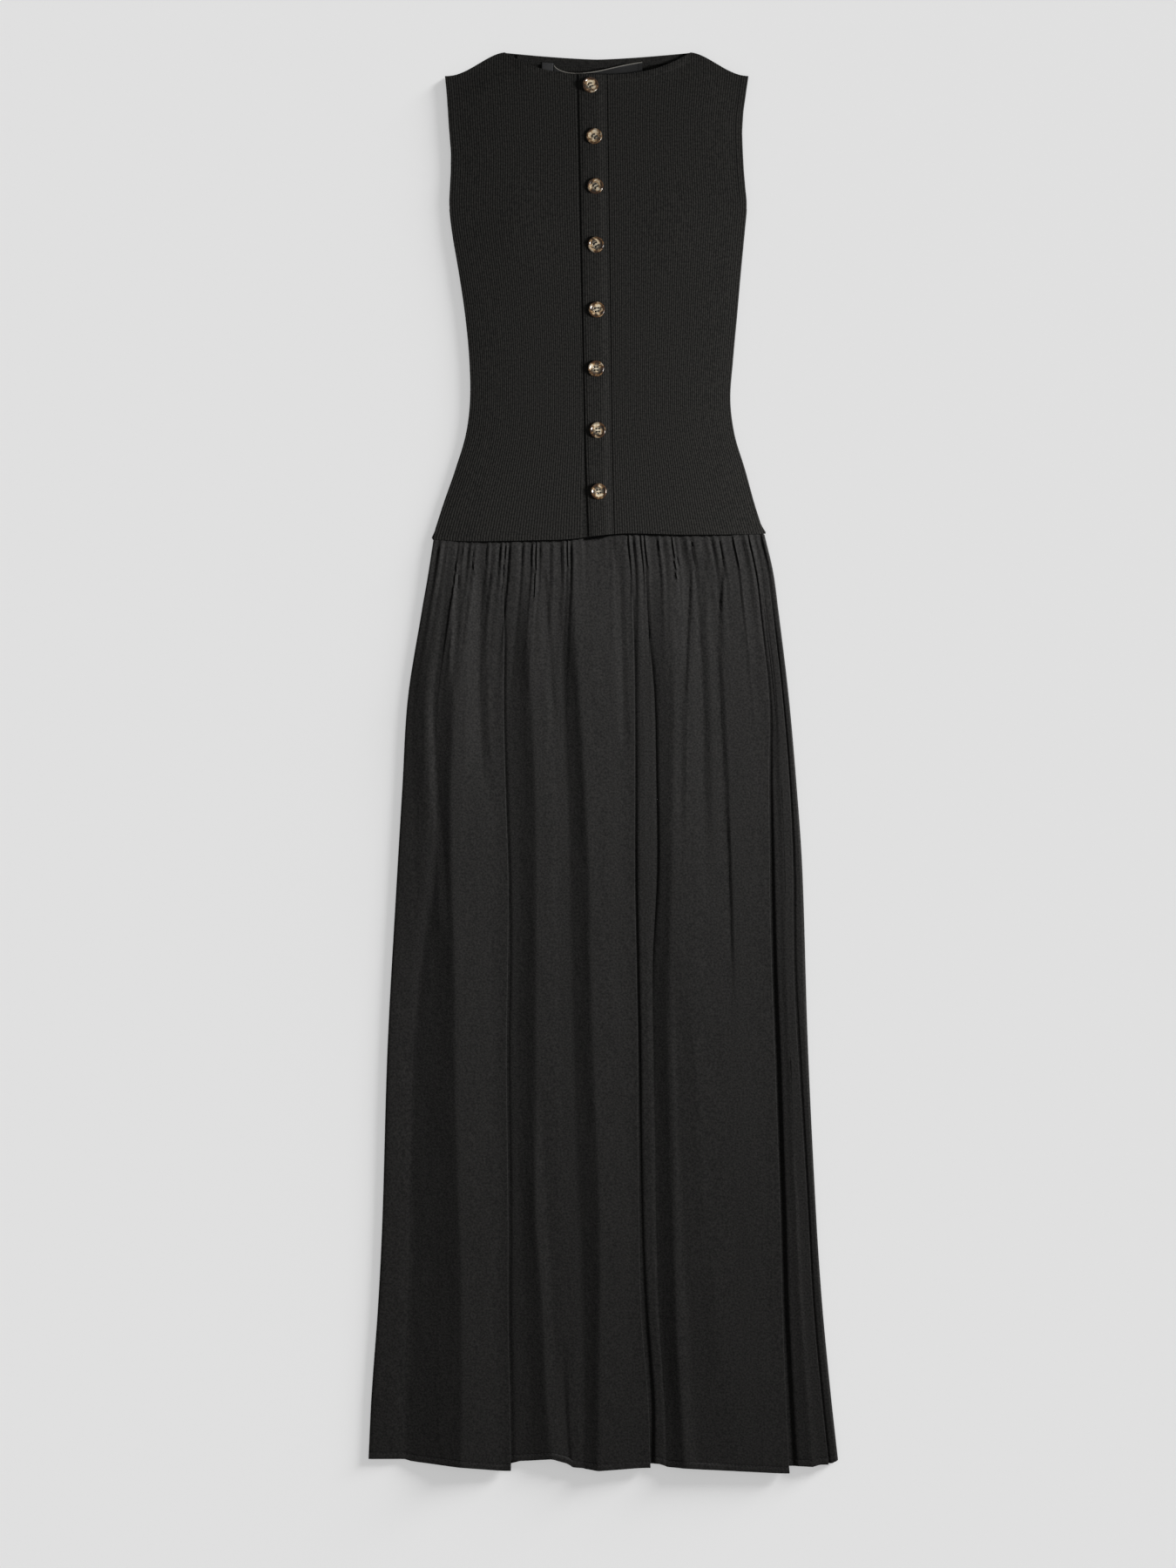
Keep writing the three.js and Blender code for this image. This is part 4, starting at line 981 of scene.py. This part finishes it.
class DRESS_OT_bodice_back(bpy.types.Operator):
    """The back of the bodice, which lies flat: ribs on its outer face below, and its plain inside above"""

    bl_idname = "dress.bodice_back"
    bl_label = "Bodice back"

    def execute(self, context):
        shares = np.linspace(0, 1, 4 * RIBS["back"] + 1)
        left, right = [partial(bodice_side, side=side) for side in (-1, 1)]
        x, down, below, _ = knit_panel(left, right, back_neck, shares, 56)
        ridge = rib_ridges(RIBS["back"], shares) + 0 * down
        from_side = np.minimum(x - left(down), right(down) - x)
        edges = rounded(np.minimum(below, from_side), 0.6)
        # Its ribs are valleys on the inside, which is seen, and the painted shade between ribs falls in these valleys.
        low, top = 0.3 * (1 - ridge) + 0.4 * edges, KNIT - 0.25 * ridge - edges
        back = wall("back_panel", x, down, low, top, cloth_uv(shares * RIBS["back"], down), 0.8 - 0.6 * ridge)
        dress(back, rib_knit(), "rib_knit", "bodice_back")
        return {"FINISHED"}


class DRESS_OT_bodice_fronts(bpy.types.Operator):
    """Both fronts of the bodice: the wearer's right runs on under the placket as the button stand"""

    bl_idname = "dress.bodice_fronts"
    bl_label = "Bodice fronts"

    def execute(self, context):
        stand, seam = placket_line(0, STAND["past_middle"]), placket_line(1, SEAM_GAP)
        left, right = [partial(bodice_side, side=side) for side in (-1, 1)]
        parts = [
            ("right", left, stand, STAND["ribbed"], -1, 0.165, 0.0705),
            ("left", seam, right, 1, 1, 0.155, 0.064),
        ]
        for name, start, end, ribbed, side, wide, area in parts:
            front = knit_front(f"front_panel_{name}", start, end, RIBS[name], ribbed, side)
            dress(front, rib_knit(), "rib_knit", f"bodice_front_{name}")
        return {"FINISHED"}


class DRESS_OT_placket(bpy.types.Operator):
    """The ribbed placket, free at its left edge and seamed to the wearer's left front at its right edge"""

    bl_idname = "dress.placket"
    bl_label = "Placket"

    def execute(self, context):
        shares = np.linspace(0, 1, 6 * RIBS["placket"] + 1)
        x, down, below, above = knit_panel(placket_line(-1), placket_line(1), front_neck, shares, 132)
        low = placket_underside(x, down)
        ridge = rib_ridges(RIBS["placket"], shares) + 0 * down
        from_left, from_right = x - placket_line(-1)(down), placket_line(1)(down) - x
        lift = context.scene.dress_knit.rib_height / MM * ridge + turned_edge(neck_distance(x, below))
        lift = lift - 0.12 * bell(from_right, PLACKET_STITCH_IN, 0.5)
        edges = rounded(below, 0.7) + rounded(from_left, 0.45) + rounded(from_right, 0.5) + 0.6 * rounded(above, 0.6)
        # The free edge is pressed thin.
        edges = edges + 0.6 * (1 - smoothstep(from_left / 4))
        top = low + np.maximum(PLACKET_WALL + lift - edges, 0.14)
        strip = wall("placket_strip", x, down, low, top, cloth_uv(shares * RIBS["placket"], down), ridge, 6)
        dress(strip, rib_knit(), "rib_knit", "placket")
        return {"FINISHED"}


class DRESS_OT_neck_edge(bpy.types.Operator):
    """The turned edge inside the back neck, with its overlocked lower edge"""

    bl_idname = "dress.neck_edge"
    bl_label = "Back neck edge"

    def execute(self, context):
        shares = np.linspace(0, 1, 241)
        rows = np.array([0, 0.3, 0.8, 1.6, 2.8, 4, 5.2, 6.2, 6.9, 7.5, 8])[:, None]
        x = NECK["centre"] + (2 * shares - 1) * BAND["half"] + 0 * rows
        down = back_neck(x) + BAND["inset"] + rows * BAND["wide"] / 8
        low = KNIT + SEAM_GAP
        ridge = rib_ridges(RIBS["neck_edge"], shares) + 0 * rows
        edge = rounded(np.minimum(rows, BAND["wide"] - rows), 0.5)
        top = low + TAPE + 0.15 * ridge - edge + 0.2 * bell(rows, 7.1, 0.5)
        # Its ribs' height paints shade between them, up to 0.7 of the full level.
        band = wall("back_neck_edge", x, down, low, top, cloth_uv(RIBS["neck_edge"] * shares, down), 0.7 * ridge)
        dress(band, rib_knit(), "rib_knit", "back_neck_band")
        across = np.linspace(-1, 1, 131) * (BAND["half"] - 1) + NECK["centre"]
        zigzag = np.where(np.arange(len(across)) % 2, 4.9, 8.1)
        edge_line = back_neck(across) + BAND["inset"]
        runs = [stack(across, edge_line + out, low + TAPE + 0.12) for out in (zigzag, 4.9)]
        dress(stitches("overlock_stitches", runs, 2.2, 0.25), sewing_thread(), "rib_knit")
        return {"FINISHED"}


class DRESS_OT_label(bpy.types.Operator):
    """The blank neck label, sewn on at its ends so that its upper edge sags, and the small tab beside it"""

    bl_idname = "dress.label"
    bl_label = "Label and tab"

    def execute(self, context):
        low = KNIT + TAPE + 2 * SEAM_GAP
        t, v = np.linspace(0, 1, 121), np.linspace(0, 1, 25)[:, None]
        start = mix(LABEL["left_down"], LABEL["right_down"], t)
        bow = np.sin(math.pi * t**LABEL["lowest"]) ** 1.3
        down = start + LABEL["sag"] * bow * (1 - v) + LABEL["tall"] * v
        x = mix(LABEL["left"], LABEL["right"], t) + 0 * down
        # The slack tape stands up a little in two soft waves along its upper edge.
        slack = 0.5 * np.sin(math.pi * t) * (1 - np.cos(4 * math.pi * t)) * (1 - v) ** 2
        below = v * LABEL["tall"] * (1 - 0.5 * bow)
        fold = 0.35 * bell(below, 0.5, 0.6)
        end = np.minimum(t, 1 - t) * (LABEL["right"] - LABEL["left"])
        turned = 0.3 * (1 - smoothstep((end - 3) / 1)) - 0.2 * bell(end, 2, 0.4)
        top = low + TAPE + slack + fold + turned - rounded(below, 0.4)
        label = wall("satin_label", x, down, low + slack, top, cloth_uv(x, below))
        dress(label, woven_tape("woven satin tape, black", "#060607", "#a09c94"), "label_satin", "neck_label")
        t, v = np.linspace(0, 1, 25), np.linspace(0, 1, 25)[:, None]
        x = mix(TAB["left"], TAB["right"], t) + 0 * v
        down = TAB["down"] + TAB["tall"] * v + 0.8 * t * (1 - v)
        edge = rounded(np.minimum(np.minimum(t, 1 - t) * (TAB["right"] - TAB["left"]),
                                  np.minimum(v, 1 - v) * TAB["tall"]), 0.4)
        top = low + TAPE + 0.2 * np.sin(3 * t + 2 * v) - edge
        tab = wall("grey_tab", x, down, low, top, cloth_uv(x, 2 + TAB["tall"] * v))
        dress(tab, woven_tape("woven polyester tape, grey", "#2e2e2f", "#3a3a3b"), "tab_tape", "size_tab")
        return {"FINISHED"}


class DRESS_OT_skirt_back(bpy.types.Operator):
    """The skirt's back panel, which lies under the front and rests on the floor"""

    bl_idname = "dress.skirt_back"
    bl_label = "Skirt back"

    def execute(self, context):
        v = np.unique(np.concatenate([np.linspace(0, 0.1, 26), np.linspace(0.1, 0.985, 61), np.linspace(0.985, 1, 12)]))
        down = mix(SKIRT["down"][0], SKIRT["down"][-1], v)
        flat, rise = 0 * down, BACK_RISE * grown(down)
        left, right = skirt_x(0, down) + SATIN + SEAM_GAP, skirt_x(100, down) - SATIN - SEAM_GAP
        stations, before = [(left, flat, SHOWN[0]["hem"][0])], left
        for i, places in enumerate(zip(BACK_CRESTS, BACK_CREASES)):
            crest, crease = [skirt_x(follow(BACK_LEVELS, percents, down), down) for percents in places]
            foot = before if i else mix(left, crest, 0.4)
            high = flat if i == FLAT_FOLD else rise
            start, middle, lip = [hem - BACK_SHORTER for hem in SHOWN[i]["hem"]]
            stations += [(mix(foot, crest, 0.45), flat, start), (crest, high, middle),
                         (mix(crest, crease, 0.25), high, middle), (mix(crest, crease, 0.6), flat, lip)]
            before = crease
        stations.append((right, flat, SHOWN[-1]["hem"][2]))
        xs, zs = [np.stack([station[k] for station in stations], 1) for k in (0, 1)]
        hems = np.array([station[2] for station in stations], float)
        counts = np.maximum(2, np.round(np.abs(np.diff(xs, axis=1)).max(0) / 2)).astype(int)
        along = along_spans(counts)
        span = np.minimum(along.astype(int), len(counts) - 1)
        t = along - span
        x = mix(xs[:, span], xs[:, span + 1], t)
        z = mix(zs[:, span], zs[:, span + 1], smoothstep(t))
        hem = mix(hems[span], hems[span + 1], t)
        across, seam = share_and_seam(x, down[:, None])
        y = mix(seam, hem[None, :], v[:, None])
        dents = 1.3 * np.exp(-((y - seam) / 70)) - 1.3 * gather(across + 0.013, y - seam)
        low = z + np.maximum(dents, 0) + 0.25 * bell(hem[None, :] - y, HEM["stitch_up"], HEM["dent_wide"])
        panel = wall("skirt_back_panel", x, y, low, low + SATIN, cloth_uv(across * CUT_WIDTH, y), None, 1)
        dress(panel, woven_satin(), "satin", "skirt_back")
        return {"FINISHED"}


class DRESS_OT_skirt_front(bpy.types.Operator):
    """The skirt's front panel: gathers below the waist seam, long folds that overlap, and a turned and stitched hem"""

    bl_idname = "dress.skirt_front"
    bl_label = "Skirt front"

    def execute(self, context):
        along = along_spans(span_steps(1.9, 3))
        long = TOTAL_LENGTH - SKIRT["down"][0]
        near_hem = long - np.array([10.5, 9.2, 8, 7.2, 6.6, 6, 5.4, 4.6, 3.2, 1.6, 0.7, 0.2, 0])
        rows = [np.arange(13), np.linspace(12, 110, 60)[1:], np.linspace(110, long - 12, 108)[1:], near_hem]
        v = np.concatenate(rows) / long
        ox, oy, oz = front_section(v, along, 1)
        ix, iy, iz = front_section(v, along, -1)
        hem_edge = rounded((1 - v)[:, None] * long + 0 * oz, 0.5)
        reach = np.concatenate([[0], np.cumsum(np.hypot(np.diff(ox[-1]), np.diff(oz[-1])))])
        uv = cloth_uv(reach * 1.1, oy)
        panel = shell("skirt_front_panel", stack(ox, oy, oz - hem_edge), stack(ix, iy, iz), uv, None, 3)
        dress(panel, woven_satin(), "satin", "skirt_front")
        x, y, z = front_section(np.array([1 - HEM["stitch_up"] / long]), along, 1)
        dress(stitches("hem_stitches", [stack(x[0], y[0], z[0] + 0.12)], 2.6, 0.8), sewing_thread(), "satin")
        return {"FINISHED"}


def knit_roll(name, x, down, radius):
    """A rolled edge of the knit, which closes the front to the back: a tube with one value for its painted rib shade.
    """
    dress(tube(name, stack(x, down, ROLL_HEIGHT), radius, 12, ROLL_RIB_SHADE), rib_knit(), "rib_knit")


class DRESS_OT_seams(bpy.types.Operator):
    """Stitches of the neck, the armholes and the placket, the rolled side seams and the ends of the waist seam"""

    bl_idname = "dress.seams"
    bl_label = "Seams and stitching"

    def execute(self, context):
        # Neck: below the turned edge, left and right of the placket, then across it.
        x = np.linspace(NECK["centre"] - NECK["half"] + 4, NECK["centre"] + NECK["half"] - 4, 400)
        down = front_neck(x) + TURNED["stitch_in"] * np.sqrt(1 + neck_slope(x) ** 2)
        from_left, from_right = x - placket_line(-1)(down), placket_line(1)(down) - x
        on_strip = (from_left > 0) & (from_right > 0)
        base = np.where(on_strip, placket_underside(x, down) + PLACKET_WALL, front_underside(x, down) + KNIT) + 0.2
        runs = [stack(x, down, base)[part] for part in (from_left < -0.5, on_strip, from_right < -0.5)]
        # Armholes: from the shoulder to the underarm.
        down = np.linspace(27, 150, 200)
        for side in (-1, 1):
            x = bodice_side(down, side) - side * TURNED["stitch_in"]
            runs.append(stack(x, down, front_underside(x, down) + KNIT + 0.2))
        # Placket: along its right edge, the whole way down.
        down = np.linspace(26, 469, 500)
        x = placket_line(1, -PLACKET_STITCH_IN)(down)
        runs.append(stack(x, down, placket_underside(x, down) + PLACKET_WALL + 0.12))
        dress(stitches("edge_stitches", runs, 2.4, 0.7), sewing_thread(), "rib_knit")
        waist = float(SKIRT["down"][0])
        for side, name, reach in ((-1, "right", 1.2), (1, "left", 2.8)):
            # Side seams from the underarm to the waist close the front to the back.
            down = np.linspace(SIDE_SEAM["from"], SIDE_SEAM["to"], 161)
            ends = np.minimum(down - SIDE_SEAM["from"], SIDE_SEAM["to"] - down)
            radius = SIDE_SEAM["radius"] * np.sqrt(np.clip(ends / 4, 0.02, 1))
            knit_roll(f"side_seam_{name}", bodice_side(down, side) - side * SIDE_SEAM["in"], down, radius)
            # The bodice's corner spreads where the seam's allowances end.
            seam = seam_down(bodice_side(waist, side))
            t = np.linspace(0, 1, 25)
            down = seam - mix(CORNER["long"], CORNER["short_of_seam"], t)
            out = bodice_side(down, side) + side * ((reach + 0.1) * t**2 - CORNER["in"])
            ends = np.minimum(t, (1 - t) * (1 - CORNER["short_of_seam"] / CORNER["long"])) * CORNER["long"]
            radius = CORNER["radius"] * np.sqrt(np.clip(ends / CORNER["taper"], 0.02, 1))
            knit_roll(f"waist_seam_end_{name}", out, down, radius)
        # The waist seam's overlocked allowance lies inside, between the two layers, and closes the gap from within.
        x = np.linspace(*[bodice_side(waist, side) - 1.5 * side for side in (-1, 1)], 181)
        allowance = tube("waist_seam_allowance", stack(x, seam_down(x) - SEAM_GAP / 2, 1.92), 0.42, 8)
        dress(allowance, sewing_thread(), "satin")
        return {"FINISHED"}


def button_mesh():
    """One button around the origin. Its rim is a profile turned about Z. Its dish and its back are four quarters each,
    in rings that change from a hole's circle to the quarter's outline, and the holes go through."""
    radius, rim, arc = BUTTON["radius"], np.array(RIM), 12
    inner = rim[0, 0] * radius
    straight, corner = np.linspace(0, inner, 11), np.linspace(0, math.pi / 2, arc + 1)
    loop = np.concatenate([
        np.stack([straight, 0 * straight], -1)[:-1],
        np.stack([inner * np.cos(corner), inner * np.sin(corner)], -1),
        np.stack([0 * straight, straight[::-1]], -1)[1:-1],
    ])
    count = len(loop)
    angle = np.linspace(-0.75 * math.pi, 1.25 * math.pi, count + 1)[:-1]
    hole = np.stack([np.cos(angle), np.sin(angle)], -1)
    steps = np.array([0, 0.06, 0.18, 0.38, 0.65, 1])[:, None, None]
    circle = BUTTON["hole_from"] + BUTTON["hole_radius"] * hole
    rings = mix(circle[None], loop[None], steps)
    depth = BUTTON["dish"] - 0.18 * bell(steps[:, :, 0], 0, 0.1) + 0 * rings[..., 0]
    top = np.dstack([rings, depth + 0.35 * (np.hypot(rings[..., 0], rings[..., 1]) / inner) ** 4])
    bore = np.stack([np.dstack([circle[None], np.full((1, count), z)])[0] for z in (0.4, 0.9)])
    base = np.dstack([rings[::-1], 0 * rings[..., 0]])
    quarter = np.concatenate([base, bore, top])
    ids = np.arange(quarter[..., 0].size).reshape(quarter.shape[:2])
    quads = ring_quads(ids)
    points, faces = [], []
    for k, (sx, sy) in enumerate(((1, 1), (-1, 1), (-1, -1), (1, -1))):
        points.append(quarter.reshape(-1, 3) * (sx, sy, 1))
        faces.append((quads if sx * sy > 0 else quads[:, ::-1]) + k * quarter[..., 0].size)
    turn, out = np.linspace(0, 2 * math.pi, 4 * arc + 1)[:-1], radius * rim[:, :1]
    spun = np.stack([out * np.cos(turn), out * np.sin(turn), rim[:, 1:] + 0 * turn], -1)
    ids = sum(len(p) for p in points) + np.arange(spun[..., 0].size).reshape(spun.shape[:2])
    faces.append(ring_quads(ids))
    points.append(spun.reshape(-1, 3))
    return np.concatenate(points), np.concatenate(faces)


class DRESS_OT_buttons(bpy.types.Operator):
    """Eight four-hole buttons of cast resin with a raised round rim, each sewn on with two bars of thread"""

    bl_idname = "dress.buttons"
    bl_label = "Buttons"

    def execute(self, context):
        points, faces = button_mesh()
        out = np.hypot(points[:, 0], points[:, 1]) / BUTTON["radius"]
        heart = bell(out, 0, 0.36)
        # Where the rim's painted shade falls, from 0.68 to 0.82 of the radius outwards.
        rim = smoothstep((out - 0.68) / 0.14)
        runs = []
        for number, row in enumerate(BUTTONS, 1):
            x = follow(PLACKET["down"], PLACKET["centre"], row["down"]) + row["aside"]
            lean = math.radians(max(abs(row["lean_x"]), abs(row["lean_y"])))
            height = placket_underside(x, row["down"]) + PLACKET_WALL + BUTTON["shank"] + SEAM_GAP
            height += BUTTON["radius"] * 0.8 * math.sin(lean)
            turn = Euler([math.radians(row[key]) for key in ("lean_x", "lean_y", "turn")], "ZYX")
            matrix, place = np.array(turn.to_matrix()), np.array([x, TOP_Y - row["down"], height])
            button = make_object(f"resin_button_{number}", points @ matrix.T + place, faces.tolist(),
                                 attributes={"heart": heart, "rim": rim})
            mesh = bmesh.new()
            mesh.from_mesh(button.data)
            bmesh.ops.remove_doubles(mesh, verts=mesh.verts, dist=0.01 * MM)
            bmesh.ops.recalc_face_normals(mesh, faces=mesh.faces)
            mesh.to_mesh(button.data)
            mesh.free()
            dress(button, tortoiseshell(), "tortoiseshell_resin", f"button_{number}")
            reach = np.linspace(-1, 1, 9) * (BUTTON["hole_from"] + 0.3)
            arch = BUTTON["dish"] + BUTTON["shank"] - 1.3 * np.abs(np.linspace(-1, 1, 9)) ** 6
            for aside in (-1, 1):
                bar = np.stack([reach, 0 * reach + aside * BUTTON["hole_from"], arch], -1)
                runs.append(bar @ matrix.T + place)
        for number, run in enumerate(runs, 1):
            dress(tube(f"button_thread_{number}", run, BUTTON_THREAD, 8), sewing_thread(), "rib_knit")
        return {"FINISHED"}


class DRESS_PT_panel(bpy.types.Panel):
    """Every piece of the dress, with its sizes and colours"""

    bl_idname = "DRESS_PT_panel"
    bl_label = "Maxi dress"
    bl_space_type = "VIEW_3D"
    bl_region_type = "UI"
    bl_category = "Maxi dress"

    def draw(self, context):
        layout = self.layout
        for name, kind in GROUPS.items():
            box = layout.box()
            for key in kind.__annotations__:
                box.prop(getattr(context.scene, name), key)
        for operator in OPERATORS:
            layout.operator(operator.bl_idname)


GROUPS = {
    "dress_knit": DressKnit, "dress_satin": DressSatin, "dress_buttons": DressButtons, "dress_stage": DressStage,
}
OPERATORS = [
    DRESS_OT_stage, DRESS_OT_bodice_back, DRESS_OT_neck_edge, DRESS_OT_label, DRESS_OT_bodice_fronts, DRESS_OT_placket,
    DRESS_OT_skirt_back, DRESS_OT_skirt_front, DRESS_OT_seams, DRESS_OT_buttons,
]


def register():
    for name, kind in GROUPS.items():
        bpy.utils.register_class(kind)
        setattr(bpy.types.Scene, name, bpy.props.PointerProperty(type=kind))
    for kind in (*OPERATORS, DRESS_PT_panel):
        bpy.utils.register_class(kind)


def unregister():
    for kind in (DRESS_PT_panel, *reversed(OPERATORS)):
        bpy.utils.unregister_class(kind)
    for name, kind in reversed(GROUPS.items()):
        delattr(bpy.types.Scene, name)
        bpy.utils.unregister_class(kind)


def main():
    """Makes every piece in order."""
    register()
    for kind in OPERATORS:
        getattr(bpy.ops.dress, kind.bl_idname.split(".")[1])()


if __name__ == "__main__":
    main()
